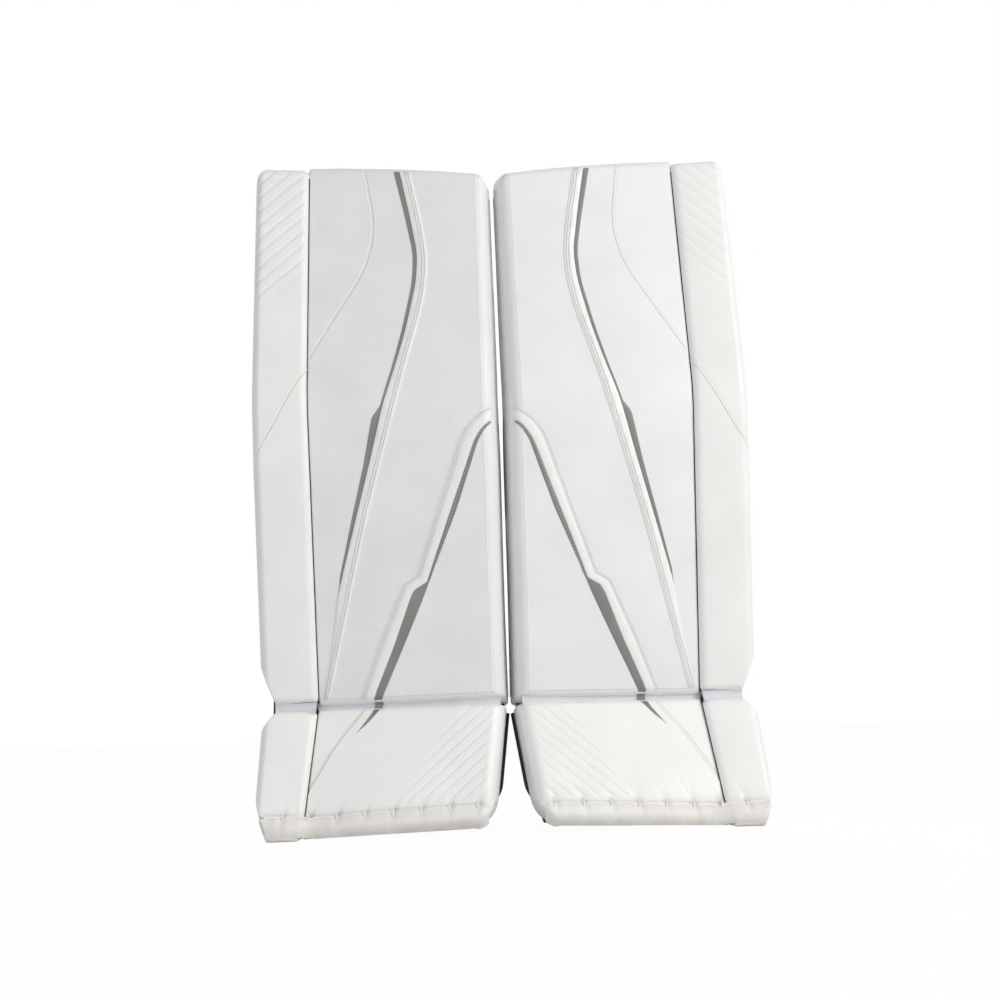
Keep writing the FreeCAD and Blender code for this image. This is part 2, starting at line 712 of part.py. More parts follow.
def eyelet_centres():
    """Where the two toe eyelets stand in the bridge plate's lip."""
    y = boot_back_y(BRIDGE_LIP_Z) + BRIDGE_LIP / 2
    return [V(sign * EYELET_SPACING / 2, y, BRIDGE_LIP_Z) for sign in (-1, 1)]


def toe_bridge():
    """A bent plate riveted to the boot's back, whose lip holds the toe lace."""
    low, high = BRIDGE_LIP_Z, BRIDGE_LIP_Z + BRIDGE_HEIGHT
    thick = BRIDGE_THICKNESS / math.cos(radians(BOOT_TILT))
    outline = [
        (boot_back_y(low), low),
        (boot_back_y(low) + BRIDGE_LIP, low),
        (boot_back_y(low) + BRIDGE_LIP, low + BRIDGE_THICKNESS),
        (boot_back_y(low + BRIDGE_THICKNESS) + thick, low + BRIDGE_THICKNESS),
        (boot_back_y(high) + thick, high),
        (boot_back_y(high), high),
    ]
    plate = side_prism(sharp(outline), -BRIDGE_WIDTH / 2, BRIDGE_WIDTH / 2)
    for centre in eyelet_centres():
        start = centre - V(0, 0, BRIDGE_THICKNESS)
        plate = plate.cut(Part.makeCylinder(EYELET_BORE_RADIUS + EYELET_WALL, 3 * BRIDGE_THICKNESS, start))
    return plate


def toe_fasteners():
    """The two brass eyelets in the lip, and the two rivet heads that hold the plate on the boot."""
    pieces = []
    for centre in eyelet_centres():
        barrel_height = BRIDGE_THICKNESS + 2 * EYELET_FLANGE
        bottom = centre - V(0, 0, EYELET_FLANGE)
        ring = Part.makeCylinder(EYELET_BORE_RADIUS + EYELET_WALL, barrel_height, bottom)
        for z in (-EYELET_FLANGE, BRIDGE_THICKNESS):
            ring = ring.fuse(Part.makeCylinder(EYELET_FLANGE_RADIUS, EYELET_FLANGE, centre + V(0, 0, z)))
        bore = Part.makeCylinder(EYELET_BORE_RADIUS, barrel_height, bottom)
        pieces.append(ring.cut(bore).removeSplitter())
    z = BRIDGE_LIP_Z + BRIDGE_HEIGHT * 0.7
    for sign in (-1, 1):
        base = V(sign * RIVET_SPACING / 2, boot_back_y(z), z) + boot_back_normal() * BRIDGE_THICKNESS
        pieces.append(Part.makeCylinder(RIVET_RADIUS, RIVET_HEAD, base, boot_back_normal()))
    return solids_of(*pieces)


def toe_strap_hinge():
    surface = V(0, boot_back_y(TOE_STRAP_Z), TOE_STRAP_Z)
    return surface + boot_back_normal() * (TOE_STRAP_BEAD_RADIUS + RUNNING_GAP)


def toe_strap():
    """The elastic strap that goes under the skate. It lies just over the floor behind the boot."""
    hinge = toe_strap_hinge()
    half_width = TOE_STRAP_WIDTH / 2
    fold = Part.makeCylinder(TOE_STRAP_BEAD_RADIUS, TOE_STRAP_WIDTH, hinge - V(half_width, 0, 0), V(1, 0, 0))
    flat_z = hinge.z - TOE_STRAP_THICKNESS / 2
    corners = [
        (-half_width, hinge.y, 0),
        (half_width, hinge.y, 0),
        (half_width, hinge.y + TOE_STRAP_LENGTH, half_width * 0.6),
        (-half_width, hinge.y + TOE_STRAP_LENGTH, half_width * 0.6),
    ]
    flat = plan_prism(corners, flat_z, flat_z + TOE_STRAP_THICKNESS)
    return flat.fuse(fold).removeSplitter()


# ---- one pad, and the pair ----
def pad():
    """Every piece of one pad, by node name, in the pad's own frame."""
    made = sections()
    made["channel_liner"] = channel_liner()
    made["calf_wedge"] = calf_wedge()
    made["knee_stack"] = knee_stack()
    made["boot_wedges"] = boot_wedges()
    made.update(wings_and_straps())
    made["toe_binding"] = toe_binding()
    made["toe_bridge"] = toe_bridge()
    made["toe_fasteners"] = toe_fasteners()
    made["toe_strap"] = toe_strap()
    return made


def yaw_of(side):
    return LEFT_YAW if side == "left" else RIGHT_YAW


def stand(shape, side):
    """Puts a shape from the pad's own frame where that pad stands, toes turned out, beside the other."""
    placed = shape.copy()
    placed.translate(V(-INNER_X, 0, 0))
    placed.rotate(V(0, 0, 0), V(0, 0, 1), yaw_of(side))
    placed.translate(V(STANDING_GAP, 0, 0))
    return placed if side == "left" else placed.mirror(V(0, 0, 0), V(1, 0, 0))


def pair():
    """Both pads by node name, with the origin under the middle of the pair's box, on the floor."""
    one = pad()
    both = {f"{side}_{name}": stand(shape, side) for side in ("right", "left") for name, shape in one.items()}
    box = Part.makeCompound(list(both.values())).optimalBoundingBox(False)
    shift = V(-(box.XMin + box.XMax) / 2, -(box.YMin + box.YMax) / 2, -box.ZMin)
    for shape in both.values():
        shape.translate(shift)
    return both, shift


NODES, SHIFT = pair()
os.makedirs("parts", exist_ok=True)
for node, node_shape in NODES.items():
    node_shape.exportStep(f"parts/{node}.step")
print(len(NODES), "nodes, shift", SHIFT)
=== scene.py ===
# %% [markdown]
# # A pair of ice hockey goalkeeper's leg pads
# A leg pad is a stack of firm foam sewn into white synthetic leather. This lesson dresses a fixed frame of
# solids: each soft solid is replaced by a padded form with sewn bands, piping, stitches and webbing. All
# sizes are in millimetres, in one pad's own frame: x across it, outwards, y from the face towards the leg,
# z up. The same piece is then stood in the left pad's place, and mirrored into the right pad's.

# %% Load the fixed frame
import json
import math
import bpy
import numpy as np
from mathutils import Matrix, Vector
from mathutils.geometry import delaunay_2d_cdt


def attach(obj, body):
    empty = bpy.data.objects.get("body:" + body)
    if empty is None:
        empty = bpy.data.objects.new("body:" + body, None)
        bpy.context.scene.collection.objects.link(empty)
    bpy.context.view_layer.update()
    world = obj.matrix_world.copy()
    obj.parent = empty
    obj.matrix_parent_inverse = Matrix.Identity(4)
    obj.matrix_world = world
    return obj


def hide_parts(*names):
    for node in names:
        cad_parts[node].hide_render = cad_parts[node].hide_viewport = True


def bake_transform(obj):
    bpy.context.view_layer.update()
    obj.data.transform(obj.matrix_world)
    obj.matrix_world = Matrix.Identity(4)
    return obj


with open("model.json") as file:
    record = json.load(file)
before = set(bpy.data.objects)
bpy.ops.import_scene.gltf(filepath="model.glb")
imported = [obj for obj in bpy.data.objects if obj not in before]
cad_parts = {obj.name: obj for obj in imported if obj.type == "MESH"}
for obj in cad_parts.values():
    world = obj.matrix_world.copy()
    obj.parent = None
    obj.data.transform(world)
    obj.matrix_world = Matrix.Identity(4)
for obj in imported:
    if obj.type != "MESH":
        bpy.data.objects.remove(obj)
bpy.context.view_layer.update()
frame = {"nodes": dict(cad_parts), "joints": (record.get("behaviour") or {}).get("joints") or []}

# %% [markdown]
# ## Where a pad stands
# Each pad's lower hinge runs straight across it, so the hinge's axis gives the pad's direction and its
# place gives the pad's origin. Reading them from the frame keeps every piece on its solid.

# %% The sizes that the pieces share
PAD_WIDTH, ROLL_WIDTH, ROLL_RISE = 279.0, 64.5, 12.0
INNER_X, OUTER_X = -PAD_WIDTH / 2, PAD_WIDTH / 2
SEAM_X = OUTER_X - ROLL_WIDTH
TOP_HEIGHT, KNEE_HEIGHT, BREAK_HEIGHT, BAND_HEIGHT = 792.0, 505.0, 151.0, 22.0
SHIN_THICKNESS, THIGH_TOP_THICKNESS, BOOT_THICKNESS, BACK_PANEL = 56.0, 44.0, 50.0, 3.0
SHIN_BACK = SHIN_THICKNESS + BACK_PANEL
THIGH_TILT, BOOT_TILT = math.radians(15.0), math.radians(22.8)
LEAN, SPLAY = math.tan(math.radians(0.9)), math.tan(math.radians(4.5))
TOP_SLANT, SOLE_SLANT = math.tan(math.radians(4.7)), math.tan(math.radians(3.0))
TOE_RADIUS, BOOT_TAPER, THIGH_TAPER_INNER, THIGH_TAPER_OUTER, INNER_FULLNESS = 26.0, 10.0, 1.5, 2.0, 4.5
HINGE_DEPTH = 26.0
SIDES = ("left", "right")

# %% Read each pad's place from its lower hinge
PLACES = {}
for joint in frame["joints"]:
    side, _, what = joint["name"].partition("_")
    if what == "boot_flex":
        turn = 1 if side == "left" else -1
        across = Vector(joint["axis"]).normalized() * turn
        deep = Vector((0, 0, turn)).cross(across)
        hinge_y = HINGE_DEPTH * math.cos(BOOT_TILT / 2)
        origin = Vector(joint["pos_m"]) - deep * hinge_y / 1000
        origin.z = 0
        PLACES[side] = [np.array(v) for v in (origin, across, deep, Vector((0, 0, 1)))]


def stand(points, side):
    """Takes millimetres in a pad's own frame to metres where that pad stands."""
    origin, across, deep, up = PLACES[side]
    points = np.asarray(points, float) / 1000
    return origin + points[..., 0:1] * across + points[..., 1:2] * deep + points[..., 2:3] * up


def pad_frame(points, side):
    """The way back: metres where a pad stands to millimetres in its own frame."""
    origin, *axes = PLACES[side]
    return (np.asarray(points, float) - origin) @ np.stack(axes, axis=1) * 1000


print("pads stand at", {side: [round(v, 3) for v in PLACES[side][0]] for side in SIDES})

# %% [markdown]
# ## Camera, light and floor
# Sports gear is usually shown on plain white, so the world and the floor look white to the camera alone.
# A large soft lamp from the right keeps the white leather a little under full white, so its form shows.

# %% Camera
CAMERA_PLACE, LOOKS_UP, LOOKS_RIGHT, ROLLED = (-0.05133, -2.74095, 0.183), 4.24, 0.96, 1.76
up_turn, side_turn, roll = (math.radians(v) for v in (LOOKS_UP, LOOKS_RIGHT, ROLLED))
heading = Matrix.Rotation(-side_turn, 3, "Z") @ Matrix.Rotation(up_turn, 3, "X")
right, ahead, above = heading.col[0], heading.col[1], heading.col[2]
camera_right = right * math.cos(roll) - above * math.sin(roll)
camera_up = right * math.sin(roll) + above * math.cos(roll)
camera = bpy.data.objects.new("camera", bpy.data.cameras.new("camera"))
camera.data.sensor_width, camera.data.lens = 36, 83.34
turned = Matrix((camera_right, camera_up, -ahead)).transposed().to_4x4()
camera.matrix_world = Matrix.Translation(CAMERA_PLACE) @ turned
bpy.context.scene.collection.objects.link(camera)
bpy.context.scene.camera = camera
bpy.context.scene.view_settings.view_transform = "Standard"
print("camera at", CAMERA_PLACE, "with a", camera.data.lens, "mm lens")

# %% One helper for nodes, one for colours


def add(tree, kind, inputs=None, **settings):
    """Adds a node. Each named input gets a value, or a link from another node's output."""
    node = tree.nodes.new(kind)
    for key, value in settings.items():
        setattr(node, key, value)
    for socket, value in (inputs or {}).items():
        if isinstance(value, bpy.types.NodeSocket):
            tree.links.new(value, node.inputs[socket])
        else:
            node.inputs[socket].default_value = value
    return node


def linear(colour):
    """Turns a colour such as #F4F3F5 to the linear values that Blender works in."""
    values = [int(colour[i : i + 2], 16) / 255 for i in (1, 3, 5)]
    return [v / 12.92 if v <= 0.04045 else ((v + 0.055) / 1.055) ** 2.4 for v in values] + [1.0]


# %% World and lamps
world = bpy.data.worlds.new("studio")
bpy.context.scene.world = world
world.use_nodes = True
world.node_tree.nodes.clear()
rays = add(world.node_tree, "ShaderNodeLightPath")
camera_ray, glossy_ray, passing_ray = (rays.outputs[f"Is {kind} Ray"] for kind in ("Camera", "Glossy", "Transmission"))
straight = add(world.node_tree, "ShaderNodeMath", {0: camera_ray, 1: glossy_ray}, operation="MAXIMUM")
seen = add(world.node_tree, "ShaderNodeMath", {0: straight.outputs[0], 1: passing_ray}, operation="MAXIMUM")
lighting = add(world.node_tree, "ShaderNodeBackground", {"Color": linear("#F4F4F5"), "Strength": 0.34})
white = add(world.node_tree, "ShaderNodeBackground", {"Color": linear("#FFFFFF"), "Strength": 1.0})
both = add(world.node_tree, "ShaderNodeMixShader", {0: seen.outputs[0], 1: lighting.outputs[0], 2: white.outputs[0]})
add(world.node_tree, "ShaderNodeOutputWorld", {"Surface": both.outputs[0]})

LAMPS = {
    "key": ((2.4, -1.8, 1.8), 1.3, 57.0, "#FFFEFC"),
    "fill": ((-1.5, -2.6, 1.6), 2.0, 20.0, "#FDFDFF"),
    "back": ((0.4, 2.6, 1.8), 1.8, 26.0, "#FFFFFF"),
}
for name, (place, size, power, colour) in LAMPS.items():
    lamp = bpy.data.objects.new(name + "_lamp", bpy.data.lights.new(name, "AREA"))
    lamp.data.size, lamp.data.energy, lamp.data.color = size, power, linear(colour)[:3]
    aim = Vector((0, 0, 0.4)) - Vector(place)
    lamp.matrix_world = Matrix.Translation(place) @ aim.to_track_quat("-Z", "Y").to_matrix().to_4x4()
    bpy.context.scene.collection.objects.link(lamp)
print("lamps:", ", ".join(LAMPS))

# %% [markdown]
# ## Materials
# Each finish starts from the real one. Its pattern is drawn at its real size: 1 mm is 0.001 of an Object
# coordinate, so a pattern that repeats every s millimetres has a scale of 1000 / s.

# %% A start for every material


def new_material(name, roughness, **sockets):
    """A material with a Principled shader. What is the same all over is set on its own sockets."""
    material = bpy.data.materials.new(name)
    material.use_nodes = True
    tree = material.node_tree
    tree.nodes.clear()
    shader = add(tree, "ShaderNodeBsdfPrincipled", {"Roughness": roughness})
    for socket, value in sockets.items():
        shader.inputs[socket.replace("_", " ")].default_value = value
    add(tree, "ShaderNodeOutputMaterial", {"Surface": shader.outputs[0]})
    return material, tree, shader


def mottle(tree, place, colours, size, detail=3.0):
    """A slow drift between two colours, as dye and handling leave on any real surface."""
    noise = add(tree, "ShaderNodeTexNoise", {"Vector": place, "Scale": 1000 / size, "Detail": detail})
    ramp = add(tree, "ShaderNodeValToRGB", {0: noise.outputs[0]})
    for element, colour, at in zip(ramp.color_ramp.elements, colours, (0.3, 0.7)):
        element.color, element.position = linear(colour), at
    return ramp.outputs[0]


def emboss(tree, shader, height, depth_mm, below=None):
    """Bumps a shader by a height from 0 to 1 that stands for depth_mm."""
    bump = add(tree, "ShaderNodeBump", {"Height": height, "Distance": depth_mm / 1000, "Strength": 1.0})
    if below is not None:
        tree.links.new(below, bump.inputs["Normal"])
    tree.links.new(bump.outputs[0], shader.inputs["Normal"])
    return bump.outputs[0]


# %% [markdown]
# Synthetic leather is a polyurethane skin on a knitted backing, pressed with a fine pebble grain. It is
# semi-matt, and pale areas drift slightly in tone. The pebbles are about 1.1 mm, with finer pores between.

# %% Coated synthetic leather


def tinted_near_floor(tree, place, colour, mark, reach):
    """Mixes a warm grey into a colour near the floor: solid at the floor, and broken up towards reach millimetres."""
    height = add(tree, "ShaderNodeSeparateXYZ", {"Vector": place}).outputs["Z"]
    low = add(tree, "ShaderNodeMapRange", {"Value": height, "From Min": reach / 1000, "From Max": 0.0})
    patches = add(tree, "ShaderNodeTexNoise", {"Vector": place, "Scale": 1000 / 22, "Detail": 5.0, "Roughness": 0.65})
    low_patches = add(tree, "ShaderNodeMath", {0: low.outputs[0], 1: patches.outputs[0]}, operation="MULTIPLY")
    share = add(tree, "ShaderNodeMapRange", {"Value": low_patches.outputs[0], "From Min": 0.1, "From Max": 0.62})
    return add(tree, "ShaderNodeMix", {0: share.outputs[0], 6: colour, 7: linear(mark)}, data_type="RGBA").outputs[2]


def synthetic_leather(name, light, dark, roughness=0.46, depth=0.05, blotches=None):
    material, tree, shader = new_material(name, roughness, Coat_Weight=0.08, Coat_Roughness=0.35)
    place = add(tree, "ShaderNodeTexCoord").outputs["Object"]
    colour = mottle(tree, place, (dark, light), 70)
    colour = tinted_near_floor(tree, place, colour, *blotches) if blotches else colour
    tree.links.new(colour, shader.inputs["Base Color"])
    pebbles = add(tree, "ShaderNodeTexVoronoi", {"Vector": place, "Scale": 1000 / 1.1}, feature="SMOOTH_F1")
    pores = add(tree, "ShaderNodeTexNoise", {"Vector": place, "Scale": 1000 / 0.45, "Detail": 2.0})
    wrinkles = add(tree, "ShaderNodeTexNoise", {"Vector": place, "Scale": 1000 / 16, "Detail": 2.0})
    first = emboss(tree, shader, wrinkles.outputs[0], depth * 4)
    second = emboss(tree, shader, pebbles.outputs["Distance"], depth, first)
    emboss(tree, shader, pores.outputs[0], depth * 0.5, second)
    span = {"Value": wrinkles.outputs[0], "To Min": roughness - 0.05, "To Max": roughness + 0.08}
    gloss = add(tree, "ShaderNodeMapRange", span)
    tree.links.new(gloss.outputs[0], shader.inputs["Roughness"])
    return material


# The face, roll and boot are one white leather in three tones. The face's copy is a little darker, which is painted
# shade. The boot's copy is a little lighter, which is painted light from above. The roll and bands sit between.
FACE_LEATHER_PAINTED_SHADE = synthetic_leather("synthetic_leather_white", "#EBEAEA", "#E4E3E4")
ROLL_LEATHER = synthetic_leather("synthetic_leather_bright", "#F0EFED", "#EAE9E7")
# The boot's leather turns a warm grey towards the floor, in broken patches.
BOOT_LEATHER_PAINTED_LIGHT = synthetic_leather("synthetic_leather_boot_painted_light", "#F4F3F1", "#EFEEEC", blotches=("#D6D0CA", 44))
BAND_LEATHER = synthetic_leather("synthetic_leather_band", "#F0EFED", "#EBEAE8", 0.42, 0.03)
GREY_LEATHER = synthetic_leather("synthetic_leather_grey", "#82827F", "#777775", 0.34, 0.03)
FOLD_LEATHER = synthetic_leather("synthetic_leather_fold", "#DBDAE0", "#D0CFD6", 0.5, 0.04)

# %% [markdown]
# Woven nylon is plain weave: yarns cross over and under, about 1.3 mm apart on a ballistic cloth. On a
# puffed block it can't follow one direction, so the weave is three crossed waves in Object coordinates.
# On straps, a UV map in metres runs along the strap, and the ribs follow it.

# %% Woven, knitted and webbing cloths


def woven_cloth(name, light, dark, yarn, depth, roughness=0.7, uv=False, across=1.0, **sockets):
    material, tree, shader = new_material(name, roughness, Sheen_Weight=0.12, Sheen_Roughness=0.4, **sockets)
    coordinates = add(tree, "ShaderNodeTexCoord")
    place = coordinates.outputs["UV" if uv else "Object"]
    waves = []
    for axis in ("X", "Y") if uv else ("X", "Y", "Z"):
        pitch = yarn * (across if axis == "Y" else 1.0)
        settings = {"Vector": place, "Scale": 1000 / pitch / (2 * math.pi) * 2, "Distortion": 0.25}
        wave = add(tree, "ShaderNodeTexWave", settings, bands_direction=axis)
        waves.append(wave.outputs["Fac"])
    height = waves[0]
    for wave in waves[1:]:
        height = add(tree, "ShaderNodeMath", {0: height, 1: wave}, operation="MULTIPLY").outputs[0]
    colour = mottle(tree, coordinates.outputs["Object"], (dark, light), 9)
    # Painted shade: the weave's low points are coloured dark, for the shade between its yarns.
    painted_valley_shade = add(tree, "ShaderNodeMix", {0: height, 6: linear(dark), 7: colour}, data_type="RGBA")
    tree.links.new(painted_valley_shade.outputs[2], shader.inputs["Base Color"])
    emboss(tree, shader, height, depth)
    return material


BALLISTIC = woven_cloth("woven_nylon_black", "#2A2A2D", "#141416", 1.3, 0.35)
PADDED_NYLON = woven_cloth("padded_nylon_black", "#26262A", "#131315", 1.6, 0.3)
KNIT = woven_cloth("knit_liner_charcoal", "#4A4B50", "#2C2D31", 2.4, 0.6, 0.85)
WEBBING = woven_cloth("polyester_webbing_black", "#242427", "#0E0E10", 1.7, 0.45, 0.6, uv=True, across=2.0)
ELASTIC = woven_cloth("knitted_elastic_black", "#2B2B2E", "#121214", 1.2, 0.35, 0.75, uv=True, across=4.0)
BINDING = woven_cloth("grosgrain_binding_black", "#222225", "#101012", 1.0, 0.25, 0.65, uv=True, across=5.0)


# %% Hook pile, foam, thread, plastic and steel
HOOKS, tree, shader = new_material("nylon_hook_pile_black", 0.75)
place = add(tree, "ShaderNodeTexCoord").outputs["Object"]
pile = add(tree, "ShaderNodeTexVoronoi", {"Vector": place, "Scale": 1000 / 1.2})
tree.links.new(mottle(tree, place, ("#101012", "#2B2B2F"), 1.5), shader.inputs["Base Color"])
emboss(tree, shader, pile.outputs["Distance"], 0.9)

FOAM, tree, shader = new_material("polyethylene_foam_grey", 0.9)
place = add(tree, "ShaderNodeTexCoord").outputs["Object"]
cells = add(tree, "ShaderNodeTexVoronoi", {"Vector": place, "Scale": 1000 / 1.4})
tree.links.new(mottle(tree, place, ("#6B6B70", "#7D7D82"), 12), shader.inputs["Base Color"])
emboss(tree, shader, cells.outputs["Distance"], 0.5)


def thread(name, light, dark):
    """Bonded polyester thread: three plies laid at a slant, which catch light in turn."""
    material, tree, shader = new_material(name, 0.5, Sheen_Weight=0.2)
    place = add(tree, "ShaderNodeTexCoord").outputs["Object"]
    settings = {"Vector": place, "Scale": 1000 / 0.9, "Distortion": 0.5}
    plies = add(tree, "ShaderNodeTexWave", settings, bands_direction="DIAGONAL")
    tree.links.new(mottle(tree, place, (dark, light), 3), shader.inputs["Base Color"])
    emboss(tree, shader, plies.outputs["Fac"], 0.12)
    return material


WHITE_THREAD = thread("bonded_thread_white", "#E8E6E2", "#C8C6C1")
BLACK_THREAD = thread("bonded_thread_black", "#3A3A3D", "#1B1B1D")

PLASTIC, tree, shader = new_material("moulded_nylon_black", 0.42)
place = add(tree, "ShaderNodeTexCoord").outputs["Object"]
spark = add(tree, "ShaderNodeTexNoise", {"Vector": place, "Scale": 1000 / 0.6, "Detail": 3.0})
tree.links.new(mottle(tree, place, ("#151517", "#1F1F22"), 18), shader.inputs["Base Color"])
emboss(tree, shader, spark.outputs[0], 0.08)

STEEL, tree, shader = new_material("nickel_plated_steel", 0.24, Metallic=1.0)
place = add(tree, "ShaderNodeTexCoord").outputs["Object"]
blotches = add(tree, "ShaderNodeTexNoise", {"Vector": place, "Scale": 1000 / 2.5, "Detail": 6.0})
tree.links.new(mottle(tree, place, ("#B9BABC", "#D2D2D0"), 5), shader.inputs["Base Color"])
polish = add(tree, "ShaderNodeMapRange", {"Value": blotches.outputs[0], "To Min": 0.16, "To Max": 0.36})
tree.links.new(polish.outputs[0], shader.inputs["Roughness"])
emboss(tree, shader, blotches.outputs[0], 0.03)
print("materials:", len(bpy.data.materials))

# %% The floor: white to the camera, with the pads' shadow left faintly on it
FLOOR, tree, shader = new_material("painted_floor_white", 0.6)
place = add(tree, "ShaderNodeTexCoord").outputs["Object"]
tree.links.new(mottle(tree, place, ("#F4F4F4", "#F8F8F8"), 400), shader.inputs["Base Color"])
rays = add(tree, "ShaderNodeLightPath")
glow = add(tree, "ShaderNodeEmission", {"Color": linear("#FFFFFF"), "Strength": 1.0})
share = add(tree, "ShaderNodeMath", {0: rays.outputs["Is Camera Ray"], 1: 0.965}, operation="MULTIPLY")
blended = add(tree, "ShaderNodeMixShader", {0: share.outputs[0], 1: shader.outputs[0], 2: glow.outputs[0]})
output = next(n for n in tree.nodes if n.type == "OUTPUT_MATERIAL")
tree.links.new(blended.outputs[0], output.inputs["Surface"])
floor = bpy.data.objects.new("floor", bpy.data.meshes.new("floor"))
floor.data.from_pydata([(-4, -4, -0.0005), (4, -4, -0.0005), (4, 4, -0.0005), (-4, 4, -0.0005)], [], [(0, 1, 2, 3)])
floor.data.materials.append(FLOOR)
bpy.context.scene.collection.objects.link(floor)

# %% [markdown]
# ## From a flat pattern to the pad
# A maker draws each panel flat. Here a pattern point is (x, h, d): across, up along the face, and into the
# pad. One function bends the long pattern over the knee, and another tilts the boot's pattern forward.

# %% Bend the long pattern, and tilt the boot's
KNEE_BEND = 24.0
BEND_RADIUS = KNEE_BEND / math.tan(THIGH_TILT / 2)
BEND_HALF = BEND_RADIUS * THIGH_TILT / 2


def smoothstep(value, low=0.0, high=1.0):
    t = np.clip((np.asarray(value, float) - low) / (high - low), 0, 1)
    return t * t * (3 - 2 * t)


def long_place(x, h, d):
    """A point of the shin and thigh's pattern. h is 0 at the knee and d grows into the pad."""
    x, h, d = np.broadcast_arrays(np.asarray(x, float), h, d)
    arc = np.clip(h + BEND_HALF, 0, 2 * BEND_HALF) / BEND_RADIUS
    over = np.clip(h - BEND_HALF, 0, None)
    y = BEND_RADIUS * (1 - np.cos(arc)) + over * math.sin(THIGH_TILT) + d * np.cos(arc)
    z = KNEE_HEIGHT - KNEE_BEND + np.minimum(h + BEND_HALF, 0) + BEND_RADIUS * np.sin(arc)
    z = z + over * math.cos(THIGH_TILT) - d * np.sin(arc)
    narrowing = (z - BREAK_HEIGHT) / (TOP_HEIGHT - BREAK_HEIGHT) * smoothstep(z, KNEE_HEIGHT - 100, KNEE_HEIGHT)
    inwards = np.clip((SEAM_X - x) / (SEAM_X - INNER_X), 0, None)
    outwards = np.clip((x - SEAM_X) / ROLL_WIDTH, 0, None)
    fullness = INNER_FULLNESS * inwards**2 * np.exp(-(((z - KNEE_HEIGHT) / 190) ** 2))
    sideways = narrowing * (THIGH_TAPER_INNER * inwards - THIGH_TAPER_OUTER * outwards) - fullness
    return np.stack([x + z * LEAN + sideways, y, z], axis=-1)


def boot_place(x, h, d):
    """A point of the boot's pattern. h is 0 at the break and negative below it."""
    x, h, d = np.broadcast_arrays(np.asarray(x, float), h, d)
    y = h * math.sin(BOOT_TILT) + d * math.cos(BOOT_TILT)
    z = BREAK_HEIGHT + h * math.cos(BOOT_TILT) - d * math.sin(BOOT_TILT)
    narrowing = BOOT_TAPER * (1 - z / (BREAK_HEIGHT + HINGE_DEPTH)) * np.clip((x - SEAM_X) / ROLL_WIDTH, 0, None)
    return np.stack([x + BREAK_HEIGHT * LEAN + (BREAK_HEIGHT - z) * SPLAY - narrowing, y, z], axis=-1)


# %% The ends of each pattern: top, break and sole
def break_slant(x):
    """The break runs slightly down towards the outer side."""
    return -4.5 * np.clip((np.asarray(x, float) - INNER_X) / (OUTER_X - INNER_X), 0, 1)


NOTCH_DEPTH = 25.5  # the break's faces meet at a wide angle to here and at a narrow one behind


def shin_low(x, d):
    undercut = 0.33 * np.minimum(d, NOTCH_DEPTH) + 0.177 * np.maximum(d - NOTCH_DEPTH, 0)
    return BREAK_HEIGHT - KNEE_HEIGHT + 4 + break_slant(x) - undercut


def thigh_high(x, d):
    top = TOP_HEIGHT + (x + TOP_HEIGHT * LEAN) * TOP_SLANT
    return (top - KNEE_HEIGHT + d * math.sin(THIGH_TILT)) / math.cos(THIGH_TILT)


def boot_high(x, d):
    rise = 0.324 * np.minimum(d, NOTCH_DEPTH) + 0.175 * np.maximum(d - NOTCH_DEPTH, 0)
    return -3.75 + break_slant(x) + rise


SOLE_SPLAY = BREAK_HEIGHT * (LEAN + SPLAY)
TOUCHING_X = OUTER_X + SOLE_SPLAY - BOOT_TAPER - TOE_RADIUS


def sole_z(x):
    """The sole's height under a pattern x. It touches the floor by the outer corner."""
    taper = BOOT_TAPER * np.clip((x - SEAM_X) / ROLL_WIDTH, 0, None)
    return (TOUCHING_X - (x + SOLE_SPLAY - taper)) * SOLE_SLANT


def boot_low(x, d):
    return (sole_z(x) - BREAK_HEIGHT + d * math.sin(BOOT_TILT)) / math.cos(BOOT_TILT)


def welt_h(x):
    return (sole_z(x) + BAND_HEIGHT - BREAK_HEIGHT) / math.cos(BOOT_TILT)


def corner(x, edge, radius, inwards=1):
    """How far a rounded corner of an outline draws back at x."""
    reach = np.clip((np.asarray(x, float) - (edge - radius * inwards)) * inwards, 0, radius)
    return radius - np.sqrt(np.maximum(radius**2 - reach**2, 0))


def notch(x, height):
    """The slanted end of the outer roll, which leaves a V at the break."""
    rise = np.clip((np.asarray(x, float) - (OUTER_X - 16)) / 16, 0, 1)
    return height * rise


# %% [markdown]
# ## Meshes in a pad's frame
# Every piece is made once and stood twice. Mirroring turns a mesh inside out, so the mirrored pad gets its faces in the
# opposite order. A piece either rides on one body, or spans two and stays where it was made.

# %% Make a piece for both pads


BENDS = {
    ("shin", "thigh"): (long_place(0.0, -BEND_HALF, HINGE_DEPTH), long_place(0.0, BEND_HALF, HINGE_DEPTH)),
    ("boot", "shin"): (boot_place(0.0, -6.0, 6.0), long_place(0.0, BREAK_HEIGHT - KNEE_HEIGHT + 6.0, 4.0)),
}
made = []


def object_from(name, points, faces, material, side, uv=None, smooth=True):
    """One mesh object where a pad stands."""
    mesh = bpy.data.meshes.new(name)
    order = faces if side == "left" else [tuple(reversed(face)) for face in faces]
    mesh.from_pydata([tuple(p) for p in stand(points, side)], [], order)
    if uv is not None:
        layer = mesh.uv_layers.new(name="cloth")
        corners = np.empty(len(mesh.loops), np.int32)
        mesh.loops.foreach_get("vertex_index", corners)
        layer.data.foreach_set("uv", (np.asarray(uv, np.float32)[corners] / 1000).ravel())
    mesh.polygons.foreach_set("use_smooth", [smooth] * len(mesh.polygons))
    mesh.materials.append(material)
    mesh.update()
    made_object = bpy.data.objects.new(name, mesh)
    bpy.context.scene.collection.objects.link(made_object)
    return made_object


